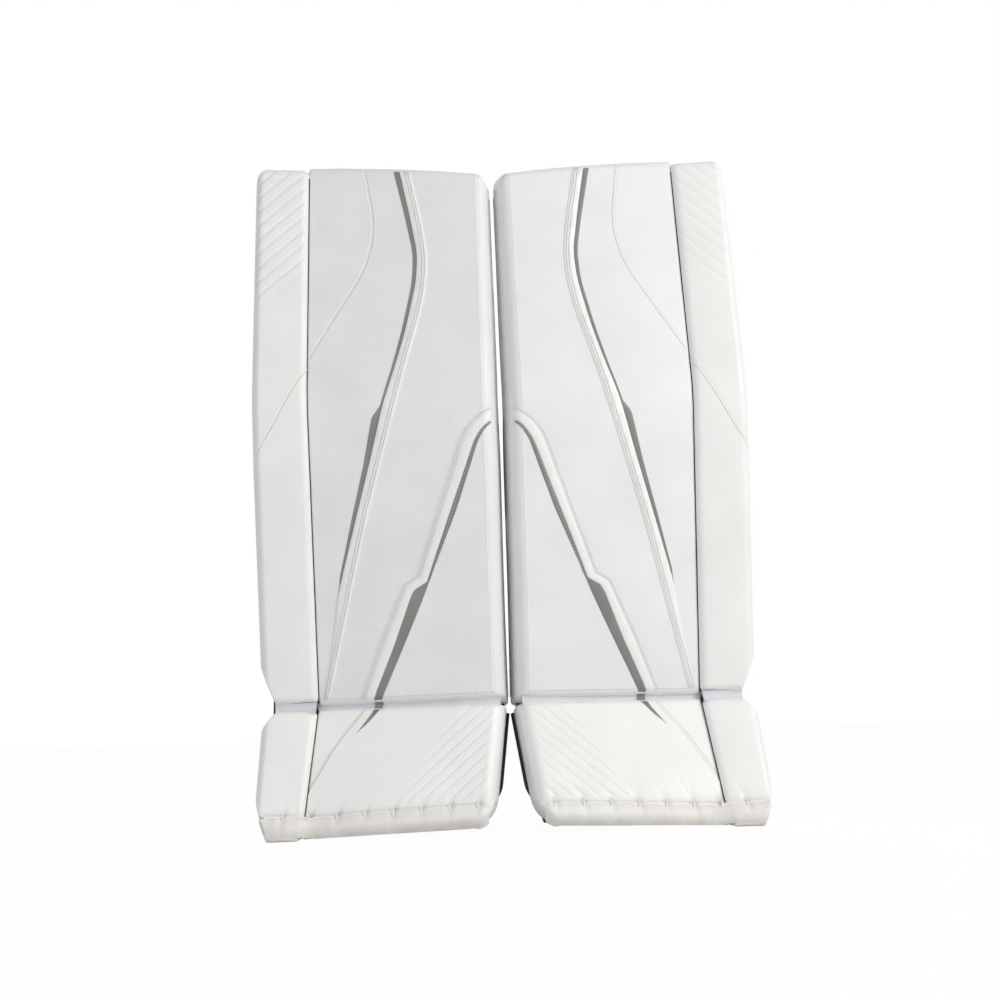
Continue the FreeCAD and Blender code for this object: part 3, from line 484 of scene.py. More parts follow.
def fix(piece, side, body, replaces=()):
    if isinstance(body, tuple):
        start, end = (Vector(stand(p, side)) for p in BENDS[body])
        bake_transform(piece)
        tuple(start)
        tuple(end)
    else:
        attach(piece, f"{side}_{body}_body")
    if replaces:
        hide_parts(*(f"{side}_{node}" for node in replaces))
    made.append(piece.name)
    return piece


def both_pads(name, points, faces, material, body, uv=None, replaces=(), smooth=True):
    for side in SIDES:
        piece = object_from(f"{side}_{name}", points, faces, material, side, uv, smooth)
        fix(piece, side, body, replaces)
    print(f"{name}: {len(points)} points, {len(faces)} faces, on {body}")


# %% [markdown]
# ## A sewn, foam-filled block
# A padded section is a box whose edges are rolled by the foam's pull on its cover. A net of points is laid
# over the box. Each point is then pushed out from the nearest inner point by that edge's radius, which
# rounds the edges. The front is lifted by its own relief: crown, puckers and pressed ribs.

# %% The block


class Block:
    def __init__(
        self, x_range, d_range, low, high, rounding, place,
        relief=None, ends=(6.0, 8.0), back_round=3.0, back=None,
    ):
        self.x0, self.x1 = x_range
        self.front, self.back_d = d_range
        self.low, self.high, self.place = low, high, place
        self.inner_round, self.outer_round = rounding
        self.ends, self.back_round, self.back = ends, back_round, back
        self.relief = relief or (lambda x, h: 0.0 * x)
        middle = (self.x0 + self.x1) / 2
        self.length = float(high(middle, self.front) - low(middle, self.front))

    def round_at(self, x):
        return self.inner_round + (self.outer_round - self.inner_round) * smoothstep(x, self.x0, self.x1)

    def shaped(self, x, t, d, inset=0.0):
        """Rounds points of the box and lifts its front. t runs from 0 at the low end to 1 at the high one."""
        r = self.round_at(x)
        h = t * self.length
        r_low, r_high = self.ends
        cx = np.clip(x, self.x0 + r, self.x1 - r)
        ch = np.clip(h, r_low, self.length - r_high)
        cd = np.clip(d, self.front + r, self.back_d - self.back_round)
        rh = np.where(h < ch, r_low, r_high)
        rd = np.where(d < cd, r, self.back_round)
        ex, eh, ed = (x - cx) / r, (h - ch) / rh, (d - cd) / rd
        size = np.maximum(np.sqrt(ex**2 + eh**2 + ed**2), 1e-6)
        nx, nh, nd = ex / size, eh / size, ed / size
        px, ph, pd = cx + r * nx, ch + rh * nh, cd + rd * nd
        depth_share = np.clip((pd - self.front) / (self.back_d - self.front), 0, 1)
        bulge = 1.6 * np.sin(math.pi * depth_share) * (1 - np.minimum(-np.minimum(nd, 0), 1))
        px, ph = px + nx * bulge, ph + nh * bulge * 0.5
        if inset:
            px = np.clip(px, self.x0 + inset, self.x1 - inset)
            ph = np.clip(ph, inset, self.length - inset)
        low, high = self.low(px, pd), self.high(px, pd)
        hh = low + ph / self.length * (high - low)
        lift = self.relief(px, hh) * np.maximum(-nd, 0) ** 2
        return self.place(px + nx * lift, hh + nh * lift, self.thin(pd, hh) + nd * lift)

    def thin(self, d, h):
        """The thigh's back comes nearer to its face towards the top."""
        return d if self.back is None else np.where(d > 0, d * self.back(h), d)

    def depth(self, x, h):
        """The depth of the front's surface at a pattern point, for whatever is sewn on it."""
        x, h = np.asarray(x, float), np.asarray(h, float)
        low, high = self.low(x, self.front), self.high(x, self.front)
        ph = (h - low) / (high - low) * self.length
        r = self.round_at(x)
        ex = np.maximum(self.x0 + r - x, x - self.x1 + r) / r
        eh = np.maximum((self.ends[0] - ph) / self.ends[0], (ph - self.length + self.ends[1]) / self.ends[1])
        nd = np.sqrt(np.clip(1 - np.maximum(ex, 0) ** 2 - np.maximum(eh, 0) ** 2, 0.0025, 1))
        return self.front + r * (1 - nd) - self.relief(x, h) * nd**2

    def on(self, x, h, lift=0.0):
        return self.place(x, h, self.depth(x, h) - lift)

    def mesh(self, step, deep_step=5.0, flange=9.0):
        """Points and faces: a front net, walls round it, and a flange turned in at the back."""
        nx = int(round((self.x1 - self.x0) / step))
        nt = int(round(self.length / step))
        xs, ts = np.linspace(self.x0, self.x1, nx + 1), np.linspace(0, 1, nt + 1)
        deep = list(np.arange(self.front + 2, self.front + 14, 2))
        deep += list(np.arange(self.front + 15, self.back_d - 4, deep_step))
        deep += [self.back_d - 3, self.back_d - 1.5, self.back_d]
        grid_x, grid_t = np.meshgrid(xs, ts, indexing="ij")
        points = [self.shaped(grid_x, grid_t, np.full_like(grid_x, self.front)).reshape(-1, 3)]
        index = np.arange(grid_x.size).reshape(grid_x.shape)
        faces = np.stack([index[:-1, :-1], index[1:, :-1], index[1:, 1:], index[:-1, 1:]], -1).reshape(-1, 4).tolist()
        loop = [(i, 0) for i in range(nx)] + [(nx, j) for j in range(nt)]
        loop += [(i, nt) for i in range(nx, 0, -1)] + [(0, j) for j in range(nt, 0, -1)]
        loop_x, loop_t = np.array([xs[i] for i, _ in loop]), np.array([ts[j] for _, j in loop])
        before = np.array([index[i, j] for i, j in loop])
        count = grid_x.size
        rows = [(d, 0.0) for d in deep] + [(self.back_d, flange / 2), (self.back_d, flange)]
        for d, inset in rows:
            points.append(self.shaped(loop_x, loop_t, np.full_like(loop_x, d), inset))
            row = np.arange(count, count + len(loop))
            count += len(loop)
            for m in range(len(loop)):
                n = (m + 1) % len(loop)
                faces.append((int(before[m]), int(row[m]), int(row[n]), int(before[n])))
            before = row
        return np.concatenate(points), [tuple(f) for f in faces]


# %% [markdown]
# ## The relief of the covers
# Foam pushes a cover out in the middle of each panel, and thread pulls it in along seams. Slow noise gives
# the hand-sewn unevenness. The outer roll and the boot have slanted ribs pressed into them with heat.

# %% Relief of each cover
dice = np.random.default_rng(7)
NOISE = dice.uniform(-1, 1, (64, 64))


def slow_noise(x, h, size, shift=0):
    """Smooth noise from -1 to 1 that changes over size millimetres."""
    u, v = np.asarray(x, float) / size + 17 + shift, np.asarray(h, float) / size + 31 + shift
    i, j = np.floor(u).astype(int), np.floor(v).astype(int)
    fu, fv = smoothstep(u - i), smoothstep(v - j)
    a, b = NOISE[i % 64, j % 64], NOISE[(i + 1) % 64, j % 64]
    c, e = NOISE[i % 64, (j + 1) % 64], NOISE[(i + 1) % 64, (j + 1) % 64]
    return (a * (1 - fu) + b * fu) * (1 - fv) + (c * (1 - fu) + e * fu) * fv


def crown(x, x0, x1, height, power=0.8):
    u = np.clip((np.asarray(x, float) - x0) / (x1 - x0), 0, 1)
    return height * (1 - (2 * u - 1) ** 2) ** power


def ribs(phase):
    """Flat ridges with narrow valleys, one for each whole step of phase, and a shallow line along each."""
    valley, line = np.abs(np.cos(math.pi * phase)) ** 7, np.abs(np.sin(math.pi * phase)) ** 12
    slant = 0.35 * (phase - np.floor(phase) - 0.5)
    return 1 - valley - 0.3 * line + slant


BREAK_H = BREAK_HEIGHT - KNEE_HEIGHT
ROLL_RIB_PITCH, ROLL_RIB_LOW, ROLL_RIB_SLOPE = 18.5, 165.0, math.tan(math.radians(43))
BOOT_RIB_PITCH, BOOT_RIB_SLOPE = 11.0, math.radians(46)
TACK_XS = [100.7 - 31.9 * i for i in range(8)]


def face_relief(x, h):
    lift = crown(x, INNER_X, SEAM_X, 2.6) + 0.45 * slow_noise(x, h, 55) + 0.16 * slow_noise(x, h, 19, 5)
    near_break = np.exp(-np.clip(h - BREAK_H, 0, None) / 16)
    return lift + near_break * 0.7 * slow_noise(x, h * 0.2, 8, 9)


def wedge_shape(x):
    """The outer roll is thicker at its outer edge, so its front slopes in towards the seam."""
    return 9.0 * (np.clip((np.asarray(x, float) - SEAM_X) / ROLL_WIDTH, 0, 1) - 0.65)


def sloped(place):
    """A place whose front leans with the outer roll's slope, fading out towards the back."""
    return lambda x, h, d: place(x, h, d - wedge_shape(x) * np.clip((10 - np.asarray(d)) / 22, 0, 1))


def roll_relief(x, h):
    lift = crown(x, SEAM_X, OUTER_X, 1.4) + 0.35 * slow_noise(x, h, 42, 3)
    along = h + (x - SEAM_X) * ROLL_RIB_SLOPE
    inside = smoothstep(along, ROLL_RIB_LOW, ROLL_RIB_LOW + 3)
    inside = inside * smoothstep(x, SEAM_X + 1, SEAM_X + 5) * (1 - smoothstep(x, OUTER_X - 5, OUTER_X))
    lift = lift + 1.15 * inside * (ribs((along - ROLL_RIB_LOW) / ROLL_RIB_PITCH) - 0.8)
    near_break = np.exp(-np.clip(h - BREAK_H, 0, None) / 20)
    return lift + near_break * 0.8 * slow_noise(x, h * 0.2, 9, 2)


def gather(x, h):
    """The welt pulls the boot in along its line, and each tack dimples it above and below."""
    up = h - welt_h(x)
    lift = -1.2 * np.exp(-((up / 2.6) ** 2)) - 3.6 * np.exp(-np.abs(up - 2.2) / np.where(up > 2.2, 5.5, 1.4))
    for i, tack_x in enumerate(TACK_XS):
        near, fold = np.exp(-(((x - tack_x) / 4.2) ** 2)), np.exp(-(((x - tack_x + 0.35 * up) / 2.2) ** 2))
        lift = lift - 3.6 * near * np.exp(-np.abs(up) / (6 if i % 2 else 8))
        lift = lift - 1.0 * fold * np.where(up > 0, 1, 0) * np.exp(-up / (13 if i % 2 else 18))
        lift = lift - 0.9 * near * np.where(up < 0, 1, 0) * np.exp(up / 8)
    band = np.clip(-up / (BAND_HEIGHT / math.cos(BOOT_TILT)), 0, 1)
    return lift + np.where(up < 0, 1.9 * np.sin(math.pi * np.minimum(band * 1.2, 1)) ** 0.6, 0)


BOOT_SEAM_POINTS = [(19.5, -9), (22.3, -16), (40, -41), (52, -62), (62.4, -86), (71, -103), (73.5, -112)]


def boot_relief(x, h):
    lift = crown(x, INNER_X, SEAM_X, 1.8) + 0.5 * slow_noise(x, h, 45, 8) + gather(x, h)
    seam_h, seam_x = [p[1] for p in BOOT_SEAM_POINTS][::-1], [p[0] for p in BOOT_SEAM_POINTS][::-1]
    lift = lift - 1.6 * smoothstep(x - np.interp(h, seam_h, seam_x), -0.6, 1.8) * smoothstep(h, -114, -106)
    slant = math.cos(BOOT_RIB_SLOPE) * (h + 10) + math.sin(BOOT_RIB_SLOPE) * (x + 133)
    phase = slant / BOOT_RIB_PITCH
    edge = x - (-89 + 60 * (-6 - h) / 127)
    inside = (1 - smoothstep(edge, -5, 3)) * smoothstep(x, INNER_X + 9, INNER_X + 15)
    inside = inside * smoothstep(h, welt_h(x) + 4, welt_h(x) + 12) * (1 - smoothstep(h, -11, -5))
    near_break = np.exp(np.clip(h, None, 0) / 12)
    return lift + 1.15 * inside * (ribs(phase) - 0.7) + near_break * 0.5 * slow_noise(x, h * 0.2, 8, 4)


def boot_roll_relief(x, h):
    return crown(x, SEAM_X, OUTER_X, 1.4) + 0.5 * slow_noise(x, h, 38, 1) + gather(x, h)


def thinner(h):
    """The share of the shin's thickness left at a height of the thigh."""
    return 1 - (1 - THIGH_TOP_THICKNESS / SHIN_THICKNESS) * np.clip(h / (TOP_HEIGHT - KNEE_HEIGHT), 0, 1.1)


# %% The four covers of a pad
def top_bow(x):
    """The face's top edge rises a little to its middle."""
    return 3.0 * (2 * (np.asarray(x, float) - INNER_X) / (SEAM_X - INNER_X) - 1) ** 2


FACE = Block(
    (INNER_X, SEAM_X), (0.0, SHIN_THICKNESS), shin_low,
    lambda x, d: thigh_high(x, d) - top_bow(x) - corner(x, INNER_X, 11.0, -1),
    rounding=(13.0, 3.0), place=long_place, relief=face_relief, ends=(6.0, 8.0), back=thinner,
)
ROLL = Block(
    (SEAM_X, OUTER_X), (-ROLL_RISE, SHIN_THICKNESS),
    lambda x, d: shin_low(x, d) + notch(x, 40.0),
    lambda x, d: thigh_high(x, d) - 5.0 - 2.5 * (x - SEAM_X) / ROLL_WIDTH - corner(x, OUTER_X, 15.0),
    rounding=(7.0, 12.0), place=sloped(long_place), relief=roll_relief, ends=(6.0, 7.0), back=thinner,
)
BOOT = Block(
    (INNER_X, SEAM_X), (0.0, BOOT_THICKNESS),
    lambda x, d: boot_low(x, d) + corner(x, INNER_X, 20.0, -1),
    boot_high, rounding=(13.0, 3.0), place=boot_place, relief=boot_relief, ends=(9.0, 6.0),
)
BOOT_ROLL = Block(
    (SEAM_X, OUTER_X), (-ROLL_RISE, BOOT_THICKNESS),
    lambda x, d: boot_low(x, d) + 46.0 * np.clip((x - OUTER_X + 19) / 19, 0, 1) ** 1.2,
    lambda x, d: boot_high(x, d) - notch(x, 20.0),
    rounding=(7.0, 12.0), place=sloped(boot_place), relief=boot_roll_relief, ends=(9.0, 6.0),
)
COVERS = {
    "face_cover_leather": (FACE, 1.7, ("shin", "thigh"), ("shin_cover", "thigh_cover")),
    "roll_cover_leather": (ROLL, 1.7, ("shin", "thigh"), ("shin_roll_cover", "thigh_roll_cover")),
    "boot_cover_leather": (BOOT, 1.4, "boot", ("boot_cover", "toe_band")),
    "boot_roll_cover_leather": (BOOT_ROLL, 1.5, "boot", ("boot_roll_cover",)),
}
for name, (block, step, body, nodes) in COVERS.items():
    points, faces = block.mesh(step)
    leather = BOOT_LEATHER_PAINTED_LIGHT if body == "boot" else ROLL_LEATHER if block is ROLL else FACE_LEATHER_PAINTED_SHADE
    both_pads(name, points, faces, leather, body, replaces=nodes)

# %% The toe band, one strip below the welt that runs on over the end of the outer roll
def band_depth(x, h):
    share = smoothstep(x, SEAM_X - 18, SEAM_X + 6)
    low = BOOT.depth(np.minimum(x, SEAM_X - 4), h)
    high = BOOT_ROLL.depth(np.maximum(x, SEAM_X + 8), h) - wedge_shape(x)
    return low * (1 - share) + high * share


band_x = np.linspace(INNER_X + 4, OUTER_X - 12, 190)
band_share = np.linspace(0.015, 1.0, 17)
grid_x, grid_share = np.meshgrid(band_x, band_share, indexing="ij")
sole_h = boot_low(grid_x, 0.0) + corner(grid_x, INNER_X, 16.0, -1) + 2.5 * np.clip(grid_x - OUTER_X + 19, 0, 19)
sole_h = np.minimum(sole_h, welt_h(grid_x) - 1.5)
band_h = sole_h + (welt_h(grid_x) - 0.4 - sole_h) * grid_share
roundness = 1.0 + 2.6 * np.sin(math.pi * grid_share) ** 0.7 + 0.35 * slow_noise(grid_x, band_h * 0.3, 14, 4)
points = boot_place(grid_x, band_h, band_depth(grid_x, band_h) - roundness * np.minimum(1, grid_share * 8))
index = np.arange(grid_x.size).reshape(grid_x.shape)
faces = np.stack([index[:-1, :-1], index[1:, :-1], index[1:, 1:], index[:-1, 1:]], -1).reshape(-1, 4)
both_pads(
    "toe_band_leather", points.reshape(-1, 3), [tuple(f) for f in faces.tolist()],
    BOOT_LEATHER_PAINTED_LIGHT, "boot", replaces=("toe_band",),
)

# %% [markdown]
# ## Bands, inlays and panels sewn on a cover
# The face carries raised white bands with narrow grey inlays beside them. Each is cut from a flat outline.
# The outline is filled with triangles, laid on the cover's own surface, and raised by a lift that falls off
# towards its rim, so it looks stitched down.

# %% Draw a line with rounded bends, and offset one


def drawn(points, bend=14.0, step=2.5):
    """A pattern line through a few points, each bend eased over bend millimetres."""
    points = [np.array(p, float) for p in points]
    line = [points[0]]
    for before, here, after in zip(points, points[1:], points[2:]):
        reach = min(bend, np.linalg.norm(before - here) / 2, np.linalg.norm(after - here) / 2)
        start = here + (before - here) / np.linalg.norm(before - here) * reach
        end = here + (after - here) / np.linalg.norm(after - here) * reach
        for t in np.linspace(0, 1, 7):
            line.append((1 - t) ** 2 * start + 2 * t * (1 - t) * here + t**2 * end)
    return evenly(np.array(line + [points[-1]]), step)


def evenly(line, step):
    """The same line with points step apart."""
    line = np.asarray(line, float)
    lengths = np.concatenate([[0], np.cumsum(np.linalg.norm(np.diff(line, axis=0), axis=1))])
    keep = np.concatenate([[True], np.diff(lengths) > 1e-6])
    line, lengths = line[keep], lengths[keep]
    at = np.linspace(0, lengths[-1], max(2, int(round(lengths[-1] / step)) + 1))
    return np.stack([np.interp(at, lengths, line[:, i]) for i in range(line.shape[1])], axis=1)


def beside(line, distance):
    """A line moved sideways, to the right of its direction of travel where distance is positive."""
    along = np.gradient(line, axis=0)
    along /= np.linalg.norm(along, axis=1, keepdims=True)
    return line + np.stack([along[:, 1], -along[:, 0]], axis=1) * distance


# %% Fill an outline and lay it on a cover


def patch(outline, block, lift, rim, fill_step=7.0, sink=0.35):
    """Points and faces of a raised patch. lift is its height, reached rim millimetres inside its outline."""
    outline = evenly(np.vstack([outline, outline[:1]]), 2.5)[:-1]
    area = 0.5 * np.sum(outline[:, 0] * np.roll(outline[:, 1], -1) - np.roll(outline[:, 0], -1) * outline[:, 1])
    if area < 0:
        outline = outline[::-1]
    starts, spans = outline, np.roll(outline, -1, axis=0) - outline

    def distance(points):
        gap = points[:, None, :] - starts[None]
        t = np.clip(np.sum(gap * spans[None], -1) / np.sum(spans**2, -1)[None], 0, 1)
        return np.linalg.norm(gap - t[..., None] * spans[None], axis=-1).min(1)

    tangent = np.roll(outline, -1, axis=0) - np.roll(outline, 1, axis=0)
    inward = np.stack([-tangent[:, 1], tangent[:, 0]], 1) / np.linalg.norm(tangent, axis=1, keepdims=True)
    inner = [outline + inward * rim * share for share in (0.35, 1.0)]
    low, high = outline.min(0), outline.max(0)
    columns, levels = (np.arange(low[axis], high[axis], fill_step) for axis in (0, 1))
    net = np.stack(np.meshgrid(columns, levels, indexing="ij"), -1).reshape(-1, 2)
    inner = [ring[distance(ring) > rim * share * 0.8] for ring, share in zip(inner, (0.35, 1.0))]
    net = net[distance(net) > rim + fill_step * 0.3] if len(net) else net
    cloud = np.vstack([outline, *inner, net])
    edges = [(i, (i + 1) % len(outline)) for i in range(len(outline))]
    flat, _, triangles, *_ = delaunay_2d_cdt([Vector(p) for p in cloud], edges, [], 1, 1e-4)
    flat = np.array([tuple(p) for p in flat])
    rise = np.clip(distance(flat) / rim, 0, 1)
    rise = lift * np.sqrt(1 - (1 - rise) ** 2) - sink * (rise < 1e-3)
    return block.on(flat[:, 0], flat[:, 1], rise), [tuple(t) for t in triangles]


def between(edge_one, edge_two):
    """A closed outline between two lines that run the same way."""
    return np.vstack([edge_one, edge_two[::-1]])


# %% [markdown]
# The upper inlay is a blade: 7 mm wide over the thigh, nearly nothing at the knee, then stepping out and
# tapering to a point. The lower inlay does the same further down, and crosses the break to the boot.

# %% The pattern's lines, each drawn from the top down
STRIPE_1_MEDIAL = drawn([
    (-36.0, 294.0), (-48.6, 231), (-57.2, 181), (-55.2, 144), (-41.5, 80), (-28.6, 34),
    (-14.2, -10), (0.5, -65), (20.5, -135), (41, -208), (46.5, -230),
])
STRIPE_1_OUTER = drawn([
    (-28.6, 294.5), (-42.6, 231), (-52.2, 181), (-50.6, 144),
    (-37.2, 80), (-25.2, 34), (-11.4, -10),
])
STRIPE_1_BLADE = drawn([(-11.4, -10), (-1.4, -23), (11.0, -79), (26.5, -139), (43.5, -207), (46.5, -230)], bend=2.0)
BAND_1_MEDIAL = drawn(
    [
        (-49.0, 293.2), (-64.5, 218), (-71, 166), (-63.5, 114), (-46.5, 53), (-32, -4),
        (-8.5, -82), (10.4, -147), (34.5, -244), (47, -294), (60.6, -347),
    ],
    bend=30.0,
)
BAND_1_LOWER = drawn([(46.5, -230), (55.5, -290), (66.5, -347)])
BAND_2_OUTER = drawn(
    [
        (-137.5, -20), (-128.8, -25.0), (-118, -33), (-109, -45),
        (-103, -58), (-77, -134), (-49.6, -211),
    ],
    bend=10.0,
)
BAND_2_STEP = drawn([(-49.6, -211), (-33.7, -221), (-22.5, -246), (-3.6, -288), (14.0, -333.0), (19.5, -348)], bend=2.0)
STRIPE_2_TOP = drawn([(-136.5, -31), (-127.2, -38.5), (-117.5, -52), (-89, -130), (-57.6, -216)], bend=8.0)
STRIPE_2_OUTER = drawn([(-57.6, -216), (-42.6, -225), (-38.2, -233), (-16.5, -289), (6.4, -341), (9.0, -348)], bend=2.0)
STRIPE_2_MEDIAL = drawn(
    [
        (-136.8, -34), (-129.7, -41.5), (-121.6, -54), (-94, -135),
        (-59.2, -219), (-52.2, -236), (-30.5, -284), (-0.4, -348),
    ],
    bend=8.0,
)
BOOT_SEAM = drawn(BOOT_SEAM_POINTS, bend=14.0)
BOOT_STRIPE = between(drawn([(6.5, -4), (14, -18), (28, -39)]), drawn([(-0.8, -4), (10, -20), (28, -39)]))
SEAM_UPPER = drawn([(9.2, 297.0), (-1, 236), (-2, 205), (8, 164), (73.8, 56)], bend=24.0)
SEAM_OVER_ROLL = drawn([(77.5, 40), (137, -60)])
CORNER_SEAM = drawn([(-109.5, -346), (-136.5, -299)])
SIDE_SEAM = drawn([(INNER_X + 11.5, BREAK_HEIGHT - KNEE_HEIGHT + 8), (INNER_X + 11.5, -120), (INNER_X + 11.5, 280)])
print("pattern lines drawn, the longest with", len(BAND_1_MEDIAL), "points")

# %% Bands and inlays on the face and boot
inlay_1 = between(np.vstack([STRIPE_1_OUTER, STRIPE_1_BLADE[1:]]), STRIPE_1_MEDIAL[:-1])
band_1 = between(np.vstack([STRIPE_1_MEDIAL, BAND_1_LOWER[1:]]), BAND_1_MEDIAL)
inlay_2 = between(np.vstack([STRIPE_2_TOP, STRIPE_2_OUTER[1:]]), STRIPE_2_MEDIAL)
band_2 = between(np.vstack([BAND_2_OUTER, BAND_2_STEP[1:]]), np.vstack([STRIPE_2_TOP, STRIPE_2_OUTER[1:]]))
ACROSS_KNEE = ("shin", "thigh")
for name, outline, block, lift, rim, material, body in (
    ("upper_inlay", inlay_1, FACE, 0.45, 0.5, GREY_LEATHER, ACROSS_KNEE),
    ("upper_band", band_1, FACE, 1.2, 0.6, BAND_LEATHER, ACROSS_KNEE),
    ("lower_inlay", inlay_2, FACE, 0.45, 0.5, GREY_LEATHER, "shin"),
    ("lower_band", band_2, FACE, 1.0, 0.7, BAND_LEATHER, "shin"),
    ("boot_inlay", BOOT_STRIPE, BOOT, 0.45, 0.5, GREY_LEATHER, "boot"),
):
    points, faces = patch(outline, block, lift, rim)
    both_pads(name, points, faces, material, body)

# %% [markdown]
# ## Piping and welts
# A seam with piping is a thin cord wrapped in leather and caught between two panels. It is a tube along a
# line on the cover. The tube's ring is turned by the line's direction and the cover's own normal.

# %% Tubes along a line


def normals_of(block, line, lift=0.0):
    """Points on a cover, and the directions that stand off it there."""
    x, h = line[:, 0], line[:, 1]
    middle = block.on(x, h, lift)
    a = block.on(x + 0.6, h, lift) - block.on(x - 0.6, h, lift)
    b = block.on(x, h + 0.6, lift) - block.on(x, h - 0.6, lift)
    out = np.cross(a, b)
    out /= np.linalg.norm(out, axis=1, keepdims=True)
    return middle, out


def tube(middle, out, radius, flat=1.0, sides=10, closed=False):
    """A tube of an oval section along points. flat is its height as a share of its width."""
    along = np.roll(middle, -1, 0) - np.roll(middle, 1, 0) if closed else np.gradient(middle, axis=0)
    along /= np.linalg.norm(along, axis=1, keepdims=True)
    side = np.cross(along, out)
    side /= np.linalg.norm(side, axis=1, keepdims=True)
    up = np.cross(side, along)
    radius = np.broadcast_to(np.asarray(radius, float), (len(middle),))
    angles = np.linspace(0, 2 * math.pi, sides, endpoint=False)
    rings = middle[:, None] + radius[:, None, None] * (
        np.cos(angles)[None, :, None] * side[:, None] + np.sin(angles)[None, :, None] * up[:, None] * flat
    )
    count = len(middle)
    points = rings.reshape(-1, 3)
    lengths = np.concatenate([[0], np.cumsum(np.linalg.norm(np.diff(middle, axis=0), axis=1))])
    round_it = np.tile(angles / (2 * math.pi), count) * 2 * math.pi * np.repeat(radius, sides)
    uv = np.stack([np.repeat(lengths, sides), round_it], 1)
    faces = []
    for i in range(count if closed else count - 1):
        j = (i + 1) % count
        for k in range(sides):
            n = (k + 1) % sides
            faces.append((i * sides + k, i * sides + n, j * sides + n, j * sides + k))
    if not closed:
        faces.append(tuple(reversed(range(sides))))
        faces.append(tuple((count - 1) * sides + k for k in range(sides)))
    return points, faces, uv


def joined(parts):
    """Several (points, faces, uv) as one."""
    points, faces, uvs, count = [], [], [], 0
    for part in parts:
        points.append(part[0])
        faces += [tuple(i + count for i in face) for face in part[1]]
        uvs.append(part[2] if len(part) > 2 else np.zeros((len(part[0]), 2)))
        count += len(part[0])
    return np.concatenate(points), faces, np.concatenate(uvs)


def piping(name, lines, block, radius, material, body, flat=0.8, sunk=0.35):
    parts = [tube(*normals_of(block, line, -radius * sunk), radius, flat) for line in lines]
    points, faces, uv = joined(parts)
    both_pads(name, points, faces, material, body, uv)


piping("face_piping", [SEAM_UPPER], FACE, 0.8, BAND_LEATHER, ACROSS_KNEE)
piping("roll_piping", [SEAM_OVER_ROLL], ROLL, 0.8, BAND_LEATHER, ACROSS_KNEE)
piping("side_piping", [SIDE_SEAM], FACE, 0.8, BAND_LEATHER, ACROSS_KNEE)
piping("band_edge_piping", [beside(np.vstack([BAND_2_OUTER, BAND_2_STEP[1:]]), 0.4)], FACE, 0.8, BAND_LEATHER, "shin")
piping("corner_piping", [CORNER_SEAM], FACE, 0.7, BAND_LEATHER, "shin")
piping("boot_piping", [BOOT_SEAM], BOOT, 1.2, BAND_LEATHER, "boot")


def crease(name, place, h_from, h_to, body, side_x=SEAM_X, depth=0.2):
    """A dark cord at the bottom of the crease beside the outer roll: painted shadow, standing for the crease's thin
    dark line of shade.
    """
    h = np.linspace(h_from, h_to, int((h_to - h_from) / 3))
    middle = place(side_x, h, depth)
    out = place(side_x, h, depth - 1.0) - middle
    points, faces, uv = tube(middle, out, 1.5, 0.8, 8)
    both_pads(name, points, faces, BINDING, body, uv)


def rim(name, outline, place, depth, body):
    """Black tape bound over the edge where a cover meets its back panel."""
    line = drawn(outline, 14.0, 4.0)
    deep = depth * (thinner(line[:, 1]) if place is long_place else 1.0)
    middle = place(line[:, 0], line[:, 1], deep)
    out = place(line[:, 0], line[:, 1], deep + 1.0) - middle
    points, faces, uv = tube(middle, out, 3.2, 1.0, 10)
    both_pads(name, points, faces, BINDING, body, uv)


LOW_H, TOP_H = BREAK_HEIGHT - KNEE_HEIGHT, 286.0
SOLE_H = float(boot_low(INNER_X, BOOT_THICKNESS)) + 14
LONG_EDGE = [
    (INNER_X + 2.6, LOW_H + 2), (INNER_X + 2.6, TOP_H - 4),
    (OUTER_X - 2, TOP_H + 16), (OUTER_X - 2, LOW_H + 44),
]
BOOT_EDGE = [(INNER_X - 0.6, 2.0), (INNER_X - 0.6, SOLE_H + 18), (INNER_X + 18, SOLE_H)]
rim("edge_binding", LONG_EDGE, long_place, SHIN_THICKNESS - 1, ("shin", "thigh"))
rim("boot_edge_binding", BOOT_EDGE, boot_place, BOOT_THICKNESS - 1, "boot")
# Painted shadow: dark cords lie in the creases beside the outer roll and give the thin dark line of their shade.
crease("roll_seam_cord", long_place, BREAK_HEIGHT - KNEE_HEIGHT + 2, 288.0, ("shin", "thigh"))
crease("boot_seam_cord", boot_place, float(welt_h(SEAM_X)) + 2.0, -6.0, "boot")

# %% [markdown]
# The welt closes the boot over the toe band. Staples pull it down every 32 mm, so it arches between them.

# %% The toe welt
WELT_START, WELT_END = INNER_X + 9.0, OUTER_X - 14.0


def welt_line(x_from, x_to):
    x = np.linspace(x_from, x_to, int((x_to - x_from) / 1.6) + 1)
    phase = (TACK_XS[0] - x) / 31.9
    arch = 2.2 * np.abs(np.sin(math.pi * phase)) ** 0.8
    return np.stack([x, welt_h(x) + arch - 1.2], axis=1)


line = welt_line(WELT_START, WELT_END)
middle = boot_place(line[:, 0], line[:, 1], band_depth(line[:, 0], line[:, 1]) - 1.0)
out = boot_place(line[:, 0], line[:, 1], band_depth(line[:, 0], line[:, 1]) - 2.0) - middle
points, faces, uv = tube(middle, out, 2.0, 0.95)
both_pads("toe_welt", points, faces, BAND_LEATHER, "boot", uv, replaces=("toe_binding",))

# %% [markdown]
# ## The fold at the break
# Between shin and boot the cover dips into a soft fold strip, so the ankle can flex. It is a curved strip from the
# boot's top edge to the shin's bottom edge, and it spans the two bodies.

# %% Fold strips and the gussets behind the flex lines


